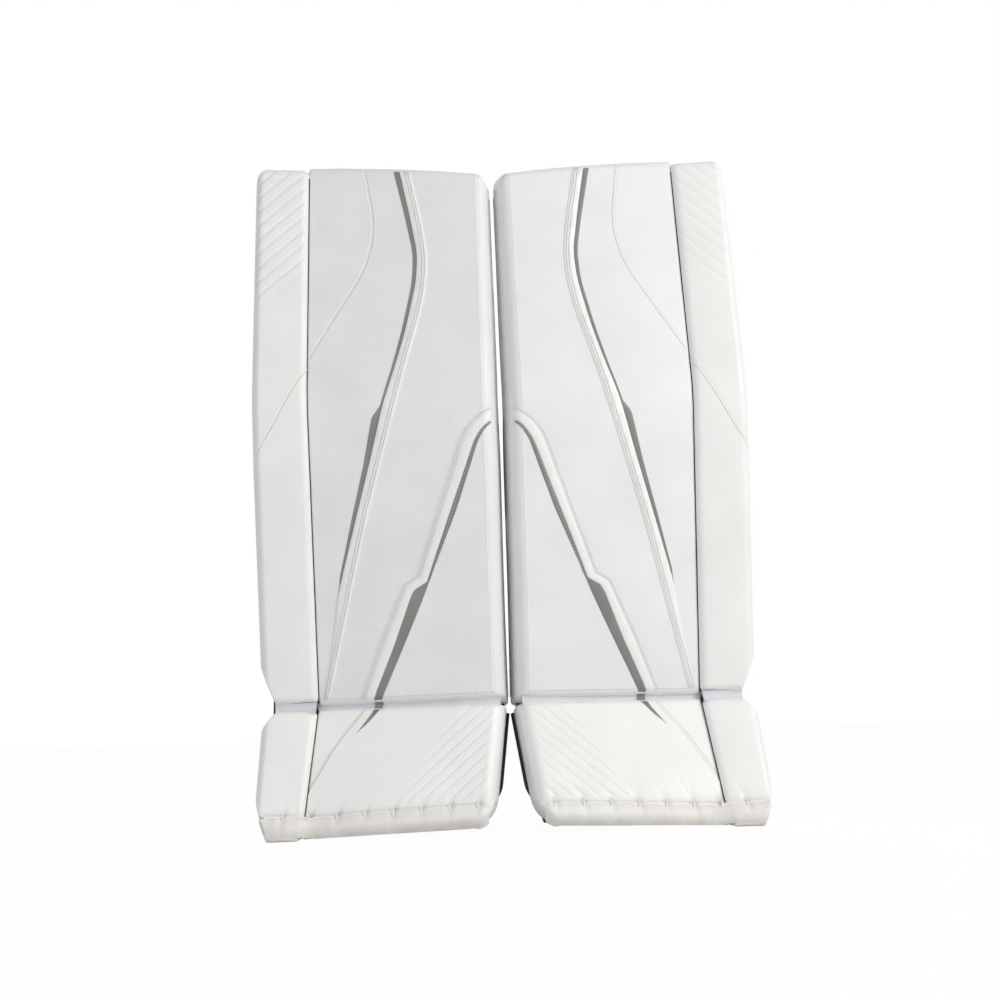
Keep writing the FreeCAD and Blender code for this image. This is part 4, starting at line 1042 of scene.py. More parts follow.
def strip(x_from, x_to, ends, place_low, place_high, dip, rows=9, step=3.0, lift=None):
    """A curved strip. ends gives (h, d) of its low and high edge, and dip how deep it sinks between them."""
    xs = np.linspace(x_from, x_to, int((x_to - x_from) / step) + 1)
    (low_h, low_d), (high_h, high_d) = ends
    slant = break_slant(xs)
    start, end = place_low(xs, low_h + slant, low_d), place_high(xs, high_h + slant, high_d)
    across = end - start
    into = np.array([0.0, 1.0, 0.0])
    points = []
    for t in np.linspace(0, 1, rows):
        wave = 0.5 * slow_noise(xs, t * 20, 7, 3) * math.sin(math.pi * t)
        points.append(start + across * t + into * (dip * math.sin(math.pi * t) + wave)[:, None])
    points = np.array(points)
    count = len(xs)
    corners = ((r * count + i, (r + 1) * count + i) for r in range(rows - 1) for i in range(count - 1))
    faces = [(low, low + 1, high + 1, high) for low, high in corners]
    uv = np.stack([np.tile(xs, rows), np.repeat(np.linspace(0, 12, rows), count)], 1)
    return points.reshape(-1, 3), faces, uv


def closed_sheet(points, faces, uv, thickness):
    """Gives a strip a second side, thickness behind it, so that it can't be seen through."""
    back = points + np.array([0, thickness, 0.0])
    both = np.concatenate([points, back])
    turned = [tuple(i + len(points) for i in reversed(face)) for face in faces]
    return both, faces + turned, np.concatenate([uv, uv])


ACROSS_BREAK = ("boot", "shin")
FOLD_DEPTH = 5.0
fold_ends = ((float(boot_high(0, 3)) - 2.5, FOLD_DEPTH), (BREAK_H + 3.5, FOLD_DEPTH))
roll_fold_ends = ((fold_ends[0][0] - 2, -6.0), (fold_ends[1][0] + 3, -6.0))
fold = [
    closed_sheet(*strip(INNER_X + 3, SEAM_X + 1, fold_ends, boot_place, long_place, 2.0), 1.2),
    closed_sheet(*strip(SEAM_X + 1, OUTER_X - 15, roll_fold_ends, boot_place, long_place, 2.5), 1.2),
]
points, faces, uv = joined(fold)
both_pads("break_fold", points, faces, FOLD_LEATHER, ACROSS_BREAK, uv)

# The inlay crosses the fold in rows of (h, x from, x to, depth); without a depth it lies on the cover.
CROSSING_BOOT = [(-11.0, 4.0, 10.2, None), (-9.0, 2.4, 9.4, None), (-7.4, 1.2, 8.9, 1.2)]
CROSSING_BOOT += [(-6.2, 0.6, 8.6, 3.4), (-4.6, 0.2, 8.6, 5.6)]
CROSSING_SHIN = [(-354.5, -0.4, 9.0, 5.6), (-352.8, -0.5, 9.2, 2.6), (-351.4, -0.5, 9.2, None)]
CROSSING_SHIN += [(-350.2, -0.5, 9.2, None), (-349.0, -0.5, 9.1, None), (-347.0, -0.8, 8.8, None)]
CROSSING_COLUMNS, CROSSING_LIFT = 7, 0.7
crossing = []
for place, block, rows in ((boot_place, BOOT, CROSSING_BOOT), (long_place, FACE, CROSSING_SHIN)):
    for h, x_from, x_to, d in rows:
        xs, hs = np.linspace(x_from, x_to, CROSSING_COLUMNS), np.full(CROSSING_COLUMNS, h)
        depth = block.depth(xs, hs) if d is None else np.full(CROSSING_COLUMNS, d)
        crossing.append(place(xs, hs, depth - CROSSING_LIFT))
index = np.arange(len(crossing) * CROSSING_COLUMNS).reshape(len(crossing), CROSSING_COLUMNS)
faces = np.stack([index[:-1, :-1], index[:-1, 1:], index[1:, 1:], index[1:, :-1]], -1).reshape(-1, 4)
faces = [tuple(f) for f in faces.tolist()]
across, down = np.linspace(0, 8, CROSSING_COLUMNS), np.linspace(0, 14, len(crossing))
uv = np.stack([np.tile(across, len(crossing)), np.repeat(down, CROSSING_COLUMNS)], 1)
points, faces, uv = closed_sheet(np.concatenate(crossing), faces, uv, 0.5)
both_pads("fold_inlay", points, faces, GREY_LEATHER, ACROSS_BREAK, uv)


def gusset(x_from, x_to, low, high, place_low, place_high):
    """Black elastic behind a flex line, from one back panel's edge to the next one's."""
    points, faces, uv = strip(x_from, x_to, (low, high), place_low, place_high, 1.6)
    return closed_sheet(points, faces, uv, -1.2)


BEHIND = 0.8
knee_back, boot_back = SHIN_THICKNESS + BEHIND, BOOT_THICKNESS + BEHIND
GUSSETS = {
    "knee": (INNER_X + 5, OUTER_X - 5, (-30.0, knee_back), (8.0, knee_back - 0.4), long_place, ACROSS_KNEE),
    "ankle": (INNER_X + 5, OUTER_X - 14, (0.0, boot_back), (BREAK_H - 2.0, knee_back), boot_place, ACROSS_BREAK),
    "notch": (OUTER_X - 26, OUTER_X - 9, (-22.0, 20.0), (BREAK_H + 32.0, 20.0), boot_place, ACROSS_BREAK),
    "inner": (INNER_X + 1, INNER_X + 16, (-8.0, 34.0), (BREAK_H + 12.0, 34.0), boot_place, ACROSS_BREAK),
}
for name, (x_from, x_to, low, high, place_low, bodies) in GUSSETS.items():
    points, faces, uv = gusset(x_from, x_to, low, high, place_low, long_place)
    both_pads(f"{name}_gusset", points, faces, ELASTIC, bodies, uv)

# %% [markdown]
# ## Stitches and staples
# What is sewn or driven in a row is one small shape, copied along a line. Geometry Nodes do that: the line comes in as
# a mesh of points, each with the way it runs and the way off the surface. A stitch row spaces its copies evenly;
# staples stand on the given points.

# %% One tree for rows and one for single fixings


def fixing_tree(name, spaced):
    tree = bpy.data.node_groups.new(name, "GeometryNodeTree")
    tree.is_modifier = True
    sockets = [("Points", "NodeSocketGeometry"), ("Shape", "NodeSocketObject"), ("Spacing", "NodeSocketFloat")]
    sockets += [(what, "NodeSocketFloat") for what in ("Length", "Width", "Height")] + [("Finish", "NodeSocketMaterial")]
    for label, kind in sockets:
        tree.interface.new_socket(label, in_out="INPUT", socket_type=kind)
    tree.interface.new_socket("Fixings", in_out="OUTPUT", socket_type="NodeSocketGeometry")
    start = add(tree, "NodeGroupInput").outputs
    points = start["Points"]
    if spaced:
        curve = add(tree, "GeometryNodeMeshToCurve", {"Mesh": points})
        sampled = {"Curve": curve.outputs[0], "Length": start["Spacing"]}
        points = add(tree, "GeometryNodeCurveToPoints", sampled, mode="LENGTH").outputs["Points"]
    off = add(tree, "GeometryNodeInputNamedAttribute", {"Name": "stands_off"}, data_type="FLOAT_VECTOR")
    along = add(tree, "GeometryNodeInputNamedAttribute", {"Name": "runs_along"}, data_type="FLOAT_VECTOR")
    axes = {0: off.outputs[0], 1: along.outputs[0]}
    turn = add(tree, "FunctionNodeAxesToRotation", axes, primary_axis="Z", secondary_axis="X")
    shape = add(tree, "GeometryNodeObjectInfo", {"Object": start["Shape"]})
    size = add(tree, "ShaderNodeCombineXYZ", {0: start["Length"], 1: start["Width"], 2: start["Height"]})
    copies = add(
        tree, "GeometryNodeInstanceOnPoints",
        {"Points": points, "Instance": shape.outputs["Geometry"], "Rotation": turn.outputs[0], "Scale": size.outputs[0]},
    )
    real = add(tree, "GeometryNodeRealizeInstances", {0: copies.outputs[0]})
    smooth = add(tree, "GeometryNodeSetShadeSmooth", {0: real.outputs[0]})
    painted = add(tree, "GeometryNodeSetMaterial", {"Geometry": smooth.outputs[0], "Material": start["Finish"]})
    add(tree, "NodeGroupOutput", {"Fixings": painted.outputs[0]})
    return tree


STITCH_ROW, SINGLE_FIXINGS = fixing_tree("stitch_row", True), fixing_tree("single_fixings", False)


def shape_object(name, points, faces):
    mesh = bpy.data.meshes.new(name)
    mesh.from_pydata([tuple(p) for p in points], [], faces)
    shape = bpy.data.objects.new(name, mesh)
    bpy.context.scene.collection.objects.link(shape)
    return shape


def arched_bar(drop, sides=6, rings=5):
    """A bar one unit long whose ends dip by drop, for a stitch or a staple's crown."""
    t = np.linspace(-0.5, 0.5, rings)
    middle = np.stack([t, 0 * t, -drop * (2 * t) ** 2], axis=1)
    radius = 0.5 * np.sqrt(np.clip(1 - (1.9 * t) ** 2 * 0.75, 0.05, 1))
    off = np.tile([0.0, 0.0, 1.0], (rings, 1))
    points, faces, _ = tube(middle * [1, 0, 1], off, radius, 1.0, sides)
    return points, faces


STITCH, STAPLE = shape_object("stitch_shape", *arched_bar(0.25)), shape_object("staple_shape", *arched_bar(0.5, 8, 7))


def fixings(name, lines, sizes, material, body, shape=STITCH, spacing=None, crosswise=False, replaces=()):
    """Copies a shape along lines of (points, directions off the surface), for both pads."""
    length, width, height = (v / 1000 for v in sizes)
    for side in SIDES:
        spots, edges, off, along = [], [], [], []
        for middle, out in lines:
            placed, tip = stand(middle, side), stand(middle + out, side)
            run = np.gradient(placed, axis=0) if len(placed) > 1 else np.array([[1.0, 0, 0]])
            if crosswise:
                run = np.cross(run, tip - placed)
            run /= np.linalg.norm(run, axis=1, keepdims=True)
            edges += [(i + len(spots), i + len(spots) + 1) for i in range(len(placed) - 1)] if spacing else []
            spots += placed.tolist()
            off.append((tip - placed) * 1000)
            along.append(run)
        mesh = bpy.data.meshes.new("points")
        mesh.from_pydata(spots, edges, [])
        for label, vectors in (("stands_off", off), ("runs_along", along)):
            layer = mesh.attributes.new(label, "FLOAT_VECTOR", "POINT")
            layer.data.foreach_set("vector", np.concatenate(vectors).astype(np.float32).ravel())
        holder = bpy.data.objects.new("holder", mesh)
        bpy.context.scene.collection.objects.link(holder)
        modifier = holder.modifiers.new("fixings", "NODES")
        modifier.node_group = STITCH_ROW if spacing else SINGLE_FIXINGS
        values = {"Shape": shape, "Spacing": (spacing or 1.0) / 1000, "Finish": material}
        values |= {"Length": length, "Width": width, "Height": height}
        for item in modifier.node_group.interface.items_tree:
            if item.in_out == "INPUT" and item.name in values:
                modifier[item.identifier] = values[item.name]
        bpy.context.view_layer.update()
        result = bpy.data.meshes.new_from_object(holder.evaluated_get(bpy.context.evaluated_depsgraph_get()))
        bpy.data.objects.remove(holder)
        piece = bpy.data.objects.new(f"{side}_{name}", result)
        bpy.context.scene.collection.objects.link(piece)
        fix(piece, side, body, replaces)
    print(f"{name}: {len(result.polygons)} faces a pad, on {body}")


# %% Rows of stitches on the face and boot


def row(block, line, lift=0.0):
    return normals_of(block, line, lift)


def clipped(line, low, high):
    return line[(line[:, 1] > low) & (line[:, 1] < high)]


THREAD = (3.1, 1.05, 0.8)
upper_rows = [row(FACE, beside(BAND_1_MEDIAL, -3.0), 1.45), row(FACE, beside(BAND_1_MEDIAL, -6.2), 1.5)]
upper_rows += [row(FACE, beside(SEAM_UPPER, 4.2), 0.15)]
fixings("upper_stitches", upper_rows, THREAD, WHITE_THREAD, ACROSS_KNEE, spacing=4.3)
lower_edge = np.vstack([BAND_2_OUTER, BAND_2_STEP[1:]])
lower_rows = [row(FACE, beside(lower_edge, -2.8), 1.75), row(FACE, clipped(beside(BAND_2_OUTER, 12.5), -212, -20), 0.15)]
fixings("lower_stitches", lower_rows, THREAD, WHITE_THREAD, "shin", spacing=4.3)
roll_rows = [row(ROLL, beside(SEAM_OVER_ROLL, 4.0), 0.15)]
fixings("roll_stitches", roll_rows, THREAD, WHITE_THREAD, ACROSS_KNEE, spacing=4.3)
band_xs = np.arange(WELT_START + 4, WELT_END - 3, 2.0)
band_hs = welt_h(band_xs) - 4.2
middle = boot_place(band_xs, band_hs, band_depth(band_xs, band_hs) - 1.9)
out = boot_place(band_xs, band_hs, band_depth(band_xs, band_hs) - 2.9) - middle
boot_rows = [row(BOOT, beside(BOOT_SEAM, -3.6), 0.15), (middle, out)]
fixings("boot_stitches", boot_rows, (2.6, 0.8, 0.55), WHITE_THREAD, "boot", spacing=3.8)
break_xs = np.arange(INNER_X + 10, SEAM_X - 3, 2.0)
break_rows = [row(FACE, np.stack([break_xs, BREAK_H + 9.5 + break_slant(break_xs)], 1), 0.1)]
FINE_THREAD = (2.6, 0.75, 0.5)
fixings("break_stitches", break_rows, FINE_THREAD, WHITE_THREAD, "shin", spacing=3.8)

# %% Staples over the welt
spots = []
for x in TACK_XS:
    near_x, near_h = np.array([x - 0.4, x + 0.4]), np.full(2, welt_h(x) - 2.4)
    middle = boot_place(near_x, near_h, band_depth(near_x, near_h) - 2.6)
    spots.append((middle, boot_place(near_x, near_h, band_depth(near_x, near_h) - 3.6) - middle))
points = np.array([m.mean(0) for m, _ in spots])
outs = np.array([o.mean(0) for _, o in spots])
fixings("staples", [(points, outs)], (12.0, 2.6, 2.2), BAND_LEATHER, "boot", shape=STAPLE, crosswise=True)

# %% [markdown]
# ## Straps, wings and flaps
# Straps are woven webbing, and wings are flat foam in a nylon cover. Each is a slab swept along a path
# drawn from above. The same slab builder rounds its edges and gives it a UV map that runs along it.

# %% A slab along a path


class Path:
    """A line drawn from above as (x, y) points, with its length and side directions."""

    def __init__(self, points, bend, height=0.0, tilted=False):
        self.line = drawn(points, bend, 1.5)
        along = np.gradient(self.line, axis=0)
        along /= np.linalg.norm(along, axis=1, keepdims=True)
        self.side = np.stack([-along[:, 1], along[:, 0]], axis=1)
        self.at = np.concatenate([[0], np.cumsum(np.linalg.norm(np.diff(self.line, axis=0), axis=1))])
        self.length, self.height, self.tilted = self.at[-1], height, tilted

    def place(self, u, v, w):
        x, y, sx, sy = (np.interp(u, self.at, values) for values in (*self.line.T, *self.side.T))
        x, y, z = x + sx * w, y + sy * w, v + self.height
        if self.tilted:
            cosine, sine = math.cos(THIGH_TILT), math.sin(THIGH_TILT)
            y, z = y * cosine + z * sine, KNEE_HEIGHT - y * sine + z * cosine
        return np.stack([x, y, z], axis=-1)


def edged(low, high, step, rounding):
    """Positions from low to high, closer together near the ends."""
    inner = np.linspace(low + rounding, high - rounding, max(2, int((high - low - 2 * rounding) / step) + 1))
    ends = rounding * np.array([0.0, 0.3, 0.65])
    return np.concatenate([low + ends, inner, (high - ends)[::-1]])


def slab(place, length, width, thickness, rounding, relief=None, step=4.0):
    """Points, faces and UVs of a closed slab with rounded edges. relief(u, v) thickens it."""
    half, half_width = thickness / 2, width / 2
    us, vs = edged(0, length, step, rounding), edged(-half_width, half_width, step, rounding)
    ws = half * np.array([-1, -0.6, 0, 0.6, 1])

    def shaped(u, v, w):
        cu, cv = np.clip(u, rounding, length - rounding), np.clip(v, -half_width + rounding, half_width - rounding)
        eu, ev, ew = (u - cu) / rounding, (v - cv) / rounding, w / half
        size = np.maximum(np.sqrt(eu**2 + ev**2 + ew**2), 1e-6)
        pu, pv, pw = cu + rounding * eu / size, cv + rounding * ev / size, half * ew / size
        if relief is not None:
            pw = pw * (1 + relief(pu, pv) / half)
        return place(pu, pv, pw), np.stack([pu, pv], axis=-1)

    grid_u, grid_v = np.meshgrid(us, vs, indexing="ij")
    nu, nv = len(us) - 1, len(vs) - 1
    index = np.arange(grid_u.size).reshape(grid_u.shape)
    loop = [(i, 0) for i in range(nu)] + [(nu, j) for j in range(nv)]
    loop += [(i, nv) for i in range(nu, 0, -1)] + [(0, j) for j in range(nv, 0, -1)]
    loop_u, loop_v = np.array([us[i] for i, _ in loop]), np.array([vs[j] for _, j in loop])
    quads = np.stack([index[:-1, :-1], index[1:, :-1], index[1:, 1:], index[:-1, 1:]], -1).reshape(-1, 4)
    points, uvs, faces = [], [], [tuple(q) for q in quads.tolist()]
    for u, v, w in ((grid_u, grid_v, np.full_like(grid_u, ws[0])),):
        p, uv = shaped(u, v, w)
        points.append(p.reshape(-1, 3))
        uvs.append(uv.reshape(-1, 2))
    before, count = np.array([index[i, j] for i, j in loop]), grid_u.size
    far = index + count + 3 * len(loop)
    for w in ws[1:]:
        last = w == ws[-1]
        row_index = np.array([far[i, j] for i, j in loop]) if last else np.arange(count, count + len(loop))
        if not last:
            p, uv = shaped(loop_u, loop_v, np.full_like(loop_u, w))
            points.append(p)
            uvs.append(uv)
            count += len(loop)
        for m in range(len(loop)):
            n = (m + 1) % len(loop)
            faces.append((int(before[m]), int(row_index[m]), int(row_index[n]), int(before[n])))
        before = row_index
    p, uv = shaped(grid_u, grid_v, np.full_like(grid_u, ws[-1]))
    points.append(p.reshape(-1, 3))
    uvs.append(uv.reshape(-1, 2))
    faces += [tuple(reversed(q)) for q in (quads + count).tolist()]
    return np.concatenate(points), faces, np.concatenate(uvs)


# %% The lines on which wings and straps lie
WING_HINGE_X, WING_TIP_X, WING_THICKNESS, STRAP_HINGE_X, STRAP_GAP = 116.0, 40.0, 12.0, 58.0, 2.6
CLOSURES = {"calf": (-118.0, 54.0, SHIN_BACK, 14.2), "knee": (-126.0, 57.0, SHIN_BACK, 14.2), "boot": (-112.0, 62.0, 46.0, 8.0)}


def on_line(closure, x, off=0.0):
    """A point on the slanted line that a wing's tip, its straps and the inner block share."""
    inner_x, depth, back, slope = CLOSURES[closure]
    slope = math.radians(slope)
    return np.array([x - off * math.sin(slope), back + depth + (x - inner_x) * math.tan(slope) + off * math.cos(slope)])


def wing_path(closure, height):
    inner_x, depth, back, slope = CLOSURES[closure]
    middle = on_line(closure, WING_HINGE_X, -WING_THICKNESS / 2)
    corner_y = middle[1] + (WING_HINGE_X - middle[0]) * math.tan(math.radians(slope))
    hinge_y = back + WING_THICKNESS / 2 + 0.4
    tip = on_line(closure, WING_TIP_X, -WING_THICKNESS / 2)
    return Path([(WING_HINGE_X, hinge_y - 4.5), (WING_HINGE_X, corner_y), tip], 26.0, height)


def quilted(width, rows, depth=1.6):
    """Sewn channels along a flap, evenly spaced over its width."""

    def relief(u, v):
        spacing = width / (rows + 1)
        near = np.abs((v + width / 2) % spacing - spacing / 2)
        from_channel = spacing / 2 - near
        groove = np.exp(-((np.minimum(from_channel, spacing) / 3.0) ** 2)) * (np.abs(v) < width / 2 - spacing * 0.5)
        return -depth * groove + 0.25 * slow_noise(u, v, 26, 6) - 0.6

    return relief


WINGS = {"calf_wing": ("calf", 176.0, 346.0, 3), "knee_wing": ("knee", 368.0, 476.0, 2), "boot_flap": ("boot", 16.0, 110.0, 2)}
wing_paths = {}
for name, (closure, low, high, rows) in WINGS.items():
    path = wing_path(closure, (low + high) / 2)
    wing_paths[name] = path
    points, faces, uv = slab(path.place, path.length, high - low, WING_THICKNESS, 5.5, quilted(high - low, rows), 3.5)
    both_pads(name + "_padding", points, faces, PADDED_NYLON, name, uv, replaces=(name,))
    half = (high - low) / 2 - 2.6
    u = np.concatenate([np.arange(6, path.length - 4, 2.0)])
    ring_u = np.concatenate([u, np.full(24, path.length - 2.6), u[::-1]])
    ring_v = np.concatenate([np.full(len(u), -half), np.linspace(-half + 2, half - 2, 24), np.full(len(u), half)])
    points = path.place(ring_u, ring_v, 0 * ring_u)
    out = path.place(ring_u, ring_v, 0 * ring_u + 1) - points
    points, faces, uv = tube(points, out, 3.4, 1.5, 12)
    both_pads(name + "_binding", points, faces, BINDING, name, uv)

# %% Straps, their sewn tabs and hook patches
STRAPS = {
    "lower_calf_strap": ("calf", "calf_wing", 216.0, 38.0),
    "upper_calf_strap": ("calf", "calf_wing", 304.0, 38.0),
    "knee_strap": ("knee", "knee_wing", 424.0, 50.0),
    "boot_strap": ("boot", "boot_flap", 66.0, 38.0),
}


def webbing_relief(length, hinge_at):
    return lambda u, v: 0.9 * np.exp(-(((u - hinge_at) / 2.6) ** 2)) - 0.0 * v


def cross_stitches(path, u_from, u_to, half, off):
    """The box with a cross in it that sews a strap down."""
    corners = [(u_from, -half), (u_to, -half), (u_to, half), (u_from, half), (u_from, -half), (u_to, half)]
    lines = []
    for route in (corners, [(u_from, half), (u_to, -half)]):
        line = evenly(np.array(route, float), 1.2)
        points = path.place(line[:, 0], line[:, 1], np.full(len(line), off))
        lines.append((points, path.place(line[:, 0], line[:, 1], np.full(len(line), off + 1.0)) - points))
    return lines


for name, (closure, wing, height, width) in STRAPS.items():
    end_x = CLOSURES[closure][0] + 6.0
    path = Path([on_line(closure, STRAP_HINGE_X + 2.0, STRAP_GAP), on_line(closure, end_x, STRAP_GAP)], 1.0, height)
    points, faces, uv = slab(path.place, path.length, width, 2.4, 1.1, webbing_relief(path.length, 2.0), 3.0)
    both_pads(name + "_webbing", points, faces, WEBBING, name, uv, replaces=(name,))
    tab_from = STRAP_HINGE_X + 4.8
    tab = Path([on_line(closure, tab_from + 17.5, 1.4), on_line(closure, tab_from, 1.4)], 1.0, height)
    points, faces, uv = slab(tab.place, tab.length, width, 2.4, 1.1, None, 3.0)
    both_pads(name + "_tab", points, faces, WEBBING, wing, uv)
    patch_ends = [on_line(closure, end_x + reach, STRAP_GAP + 1.4) for reach in (62, 6)]
    patch_path = Path(patch_ends, 1.0, height)
    points, faces, uv = slab(patch_path.place, patch_path.length, width - 5, 1.0, 0.5, None, 3.0)
    both_pads(name + "_hook_patch", points, faces, HOOKS, name, uv)
    sewn = cross_stitches(tab, 3.0, tab.length - 3.0, width / 2 - 4, -1.25)
    sewn = [(m, -o) for m, o in sewn]
    fixings(name + "_tab_stitches", sewn, (2.4, 0.8, 0.6), BLACK_THREAD, wing, spacing=3.2)

# %% The thigh strap and the toe strap
THIGH_STRAP_Y = SHIN_BACK + STRAP_GAP
THIGH_LOOP = [(112, THIGH_STRAP_Y - 1.5), (112, SHIN_BACK + 66), (-84, SHIN_BACK + 66)]
THIGH_LOOP += [(-84, THIGH_STRAP_Y), (-124, THIGH_STRAP_Y)]
thigh_path = Path(THIGH_LOOP, 30.0, 46.0, tilted=True)


def folded_end(u, v):
    return 0.7 * np.exp(-((u / 3.0) ** 2))


points, faces, uv = slab(thigh_path.place, thigh_path.length, 38.0, 2.4, 1.1, folded_end, 3.0)
both_pads("thigh_strap_elastic", points, faces, ELASTIC, "thigh_strap", uv, replaces=("thigh_strap",))

BOOT_BACK = (BOOT_THICKNESS + BACK_PANEL) / math.cos(BOOT_TILT)
TOE_Y = (7 - BREAK_HEIGHT) * math.tan(BOOT_TILT) + BOOT_BACK + 3.4 * math.cos(BOOT_TILT)
TOE_Z = 7 - 3.4 * math.sin(BOOT_TILT)


def toe_place(u, v, w):
    return np.stack([v + 0 * u, TOE_Y + u, TOE_Z - w + 0 * u], axis=-1)


points, faces, uv = slab(toe_place, 118.0, 25.0, 2.4, 1.1, lambda u, v: 1.4 * np.exp(-((u / 3.2) ** 2)), 3.0)
both_pads("toe_strap_elastic", points, faces, ELASTIC, "toe_strap", uv, replaces=("toe_strap",))

# %% [markdown]
# ## The padding of the leg channel
# These are soft blocks: foam in a nylon or knit cover that swells between its seams. Each one starts a
# little smaller than its space. Cloth with air pressure inside swells it, and a cap keeps it off its
# neighbours. One pad's blocks are simulated, and the other pad gets the mirrored result.

# %% Swell a block with cloth


def block_copy(node, voxel=0.005):
    """A welded, evenly meshed copy of a solid, as an object of its own."""
    work = bpy.data.objects.new("work", frame["nodes"]["left_" + node].data.copy())
    bpy.context.scene.collection.objects.link(work)
    weld = work.modifiers.new("weld", "WELD")
    weld.merge_threshold = 0.0001
    remesh = work.modifiers.new("remesh", "REMESH")
    remesh.mode, remesh.voxel_size = "VOXEL", voxel
    bpy.context.view_layer.update()
    mesh = bpy.data.meshes.new_from_object(work.evaluated_get(bpy.context.evaluated_depsgraph_get()))
    bpy.data.objects.remove(work)
    work = bpy.data.objects.new("work", mesh)
    bpy.context.scene.collection.objects.link(work)
    return work


def coordinates(mesh):
    values = np.empty(len(mesh.vertices) * 3)
    mesh.vertices.foreach_get("co", values)
    return values.reshape(-1, 3)


def swollen(work, shrink, cap, pressure=4.0):
    """Shrinks a work object, lets pressure swell it, and returns points in the pad's frame, and faces."""
    mesh = work.data
    normals = np.empty(len(mesh.vertices) * 3)
    mesh.vertices.foreach_get("normal", normals)
    start = coordinates(mesh) - normals.reshape(-1, 3) * shrink / 1000
    mesh.vertices.foreach_set("co", start.ravel())
    mesh.update()
    end = start
    cloth = work.modifiers.new("swell", "CLOTH")
    cloth.settings.quality = 6
    cloth.settings.mass = 0.3
    cloth.settings.tension_stiffness = cloth.settings.compression_stiffness = 12
    cloth.settings.bending_stiffness = 0.4
    cloth.settings.use_pressure = True
    cloth.settings.uniform_pressure_force = pressure
    cloth.settings.effector_weights.gravity = 0
    cloth.collision_settings.use_collision = False
    cloth.point_cache.frame_start, cloth.point_cache.frame_end = 1, 20
    for number in range(1, 21):
        bpy.context.scene.frame_set(number)
    swelled = bpy.data.meshes.new_from_object(work.evaluated_get(bpy.context.evaluated_depsgraph_get()))
    end = coordinates(swelled)
    work.modifiers.clear()
    bpy.context.scene.frame_set(1)
    move = end - start
    reach = np.linalg.norm(move, axis=1, keepdims=True)
    end = start + move * np.minimum(1, cap / 1000 / np.maximum(reach, 1e-9))
    mesh.vertices.foreach_set("co", end.ravel())
    smooth = work.modifiers.new("smooth", "SMOOTH")
    smooth.iterations, smooth.factor = 3, 0.5
    finer = work.modifiers.new("finer", "SUBSURF")
    finer.levels = finer.render_levels = 1
    bpy.context.view_layer.update()
    fine = bpy.data.meshes.new_from_object(work.evaluated_get(bpy.context.evaluated_depsgraph_get()))
    points, faces = pad_frame(coordinates(fine), "left"), [tuple(f.vertices) for f in fine.polygons]
    bpy.data.objects.remove(work)
    print(f"  swelled by {reach.max() * 1000:.1f} mm at most")
    return points, faces


def rests_on(points, plane_y, y_max=None):
    """Flattens a block's front where it lies on the pad's back."""
    points[:, 1] = np.maximum(points[:, 1], plane_y)
    if y_max is not None:
        points[:, 1] = np.minimum(points[:, 1], y_max)
    return points


# %% The calf wedge, the boot's two blocks and the liner
points, faces = swollen(block_copy("calf_wedge"), 3.0, 4.0)
both_pads(
    "calf_wedge_padding", rests_on(points, SHIN_BACK - 0.3), faces, PADDED_NYLON, "shin",
    replaces=("calf_wedge",),
)
points, faces = swollen(block_copy("boot_wedges"), 2.6, 3.4)
points[:, 2] = np.maximum(points[:, 2], 0.4)
points[:, 0] += 15.0 * (1 - smoothstep(points[:, 2], 6, 96)) * (1 - smoothstep(points[:, 0], -112, -72))
both_pads(
    "boot_wedge_padding", points, faces, PADDED_NYLON, "boot",
    replaces=("boot_wedges",),
)

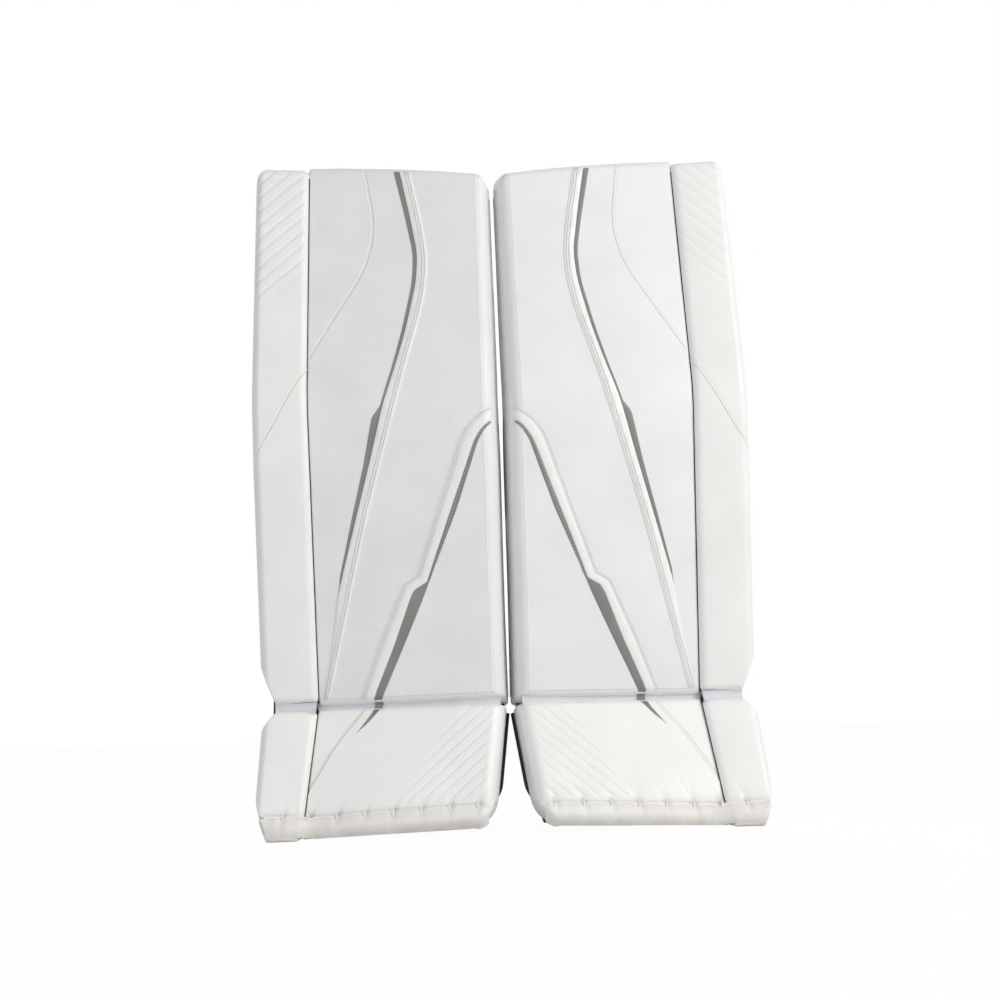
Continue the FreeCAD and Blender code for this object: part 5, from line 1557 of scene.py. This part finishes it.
points, faces = swollen(block_copy("channel_liner", 0.0045), 2.2, 2.8, 3.0)
LINER_LOW, CHANNEL = 168.0, 38.0
rear = smoothstep(points[:, 1], SHIN_BACK + 4, SHIN_BACK + 9)
across_lines = np.abs((points[:, 2] - LINER_LOW) % CHANNEL - CHANNEL / 2)
groove = np.exp(-(((CHANNEL / 2 - across_lines) / 3.2) ** 2))
points[:, 1] -= rear * (3.2 * groove - 0.8)
both_pads(
    "channel_liner_padding", rests_on(points, SHIN_BACK - 0.3), faces, KNIT, "shin",
    replaces=("channel_liner",),
)

# %% The knee stack's layers
STACK_X, STACK_LOW, STACK_HIGH, STACK_LAYER = (-126.0, -60.0), 364.0, 484.0, 19.0
layers = []
for layer in range(3):
    front = SHIN_BACK + layer * STACK_LAYER
    slant = math.tan(math.radians(14.2)) if layer == 2 else 0.0

    def layer_place(u, v, w, front=front, slant=slant):
        x = STACK_X[0] + u
        depth = STACK_LAYER + u * slant
        return np.stack([x, front + depth * (w / STACK_LAYER + 0.5), (STACK_LOW + STACK_HIGH) / 2 + v], axis=-1)

    points, faces, _ = slab(layer_place, STACK_X[1] - STACK_X[0], STACK_HIGH - STACK_LOW, STACK_LAYER, 4.0, None, 5.0)
    faces = [tuple(f) for f in faces]
    work = object_from("work", points, faces, PADDED_NYLON, "left")
    points, faces = swollen(work, 2.0, 2.6)
    layers.append((rests_on(points, SHIN_BACK - 0.3), faces))
points, faces, _ = joined(layers)
both_pads(
    "knee_stack_padding", points, faces, PADDED_NYLON, "shin",
    replaces=("knee_stack",),
)

# %% [markdown]
# ## Finishes of the solids that stay
# The back panels, the toe bridge and its metal keep their solid shapes and get a real finish.

# %% Give the remaining solids their finishes
FINISHES = {
    "back_panel": BALLISTIC, "foam": FOAM, "flex_beads": FOLD_LEATHER,
    "toe_bridge": PLASTIC, "toe_fasteners": STEEL,
}
for name, node in frame["nodes"].items():
    for ending, material in FINISHES.items():
        if name.endswith(ending):
            node.data.materials.clear()
            node.data.materials.append(material)
for name in ("boot", "shin", "thigh"):
    for side in SIDES:
        block = {"boot": "boot_cover_leather", "shin": "face_cover_leather", "thigh": "face_cover_leather"}[name]
        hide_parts(f"{side}_{name}_foam")
for shape in (STITCH, STAPLE):
    bpy.data.objects.remove(shape)
print("pieces made:", len(made))
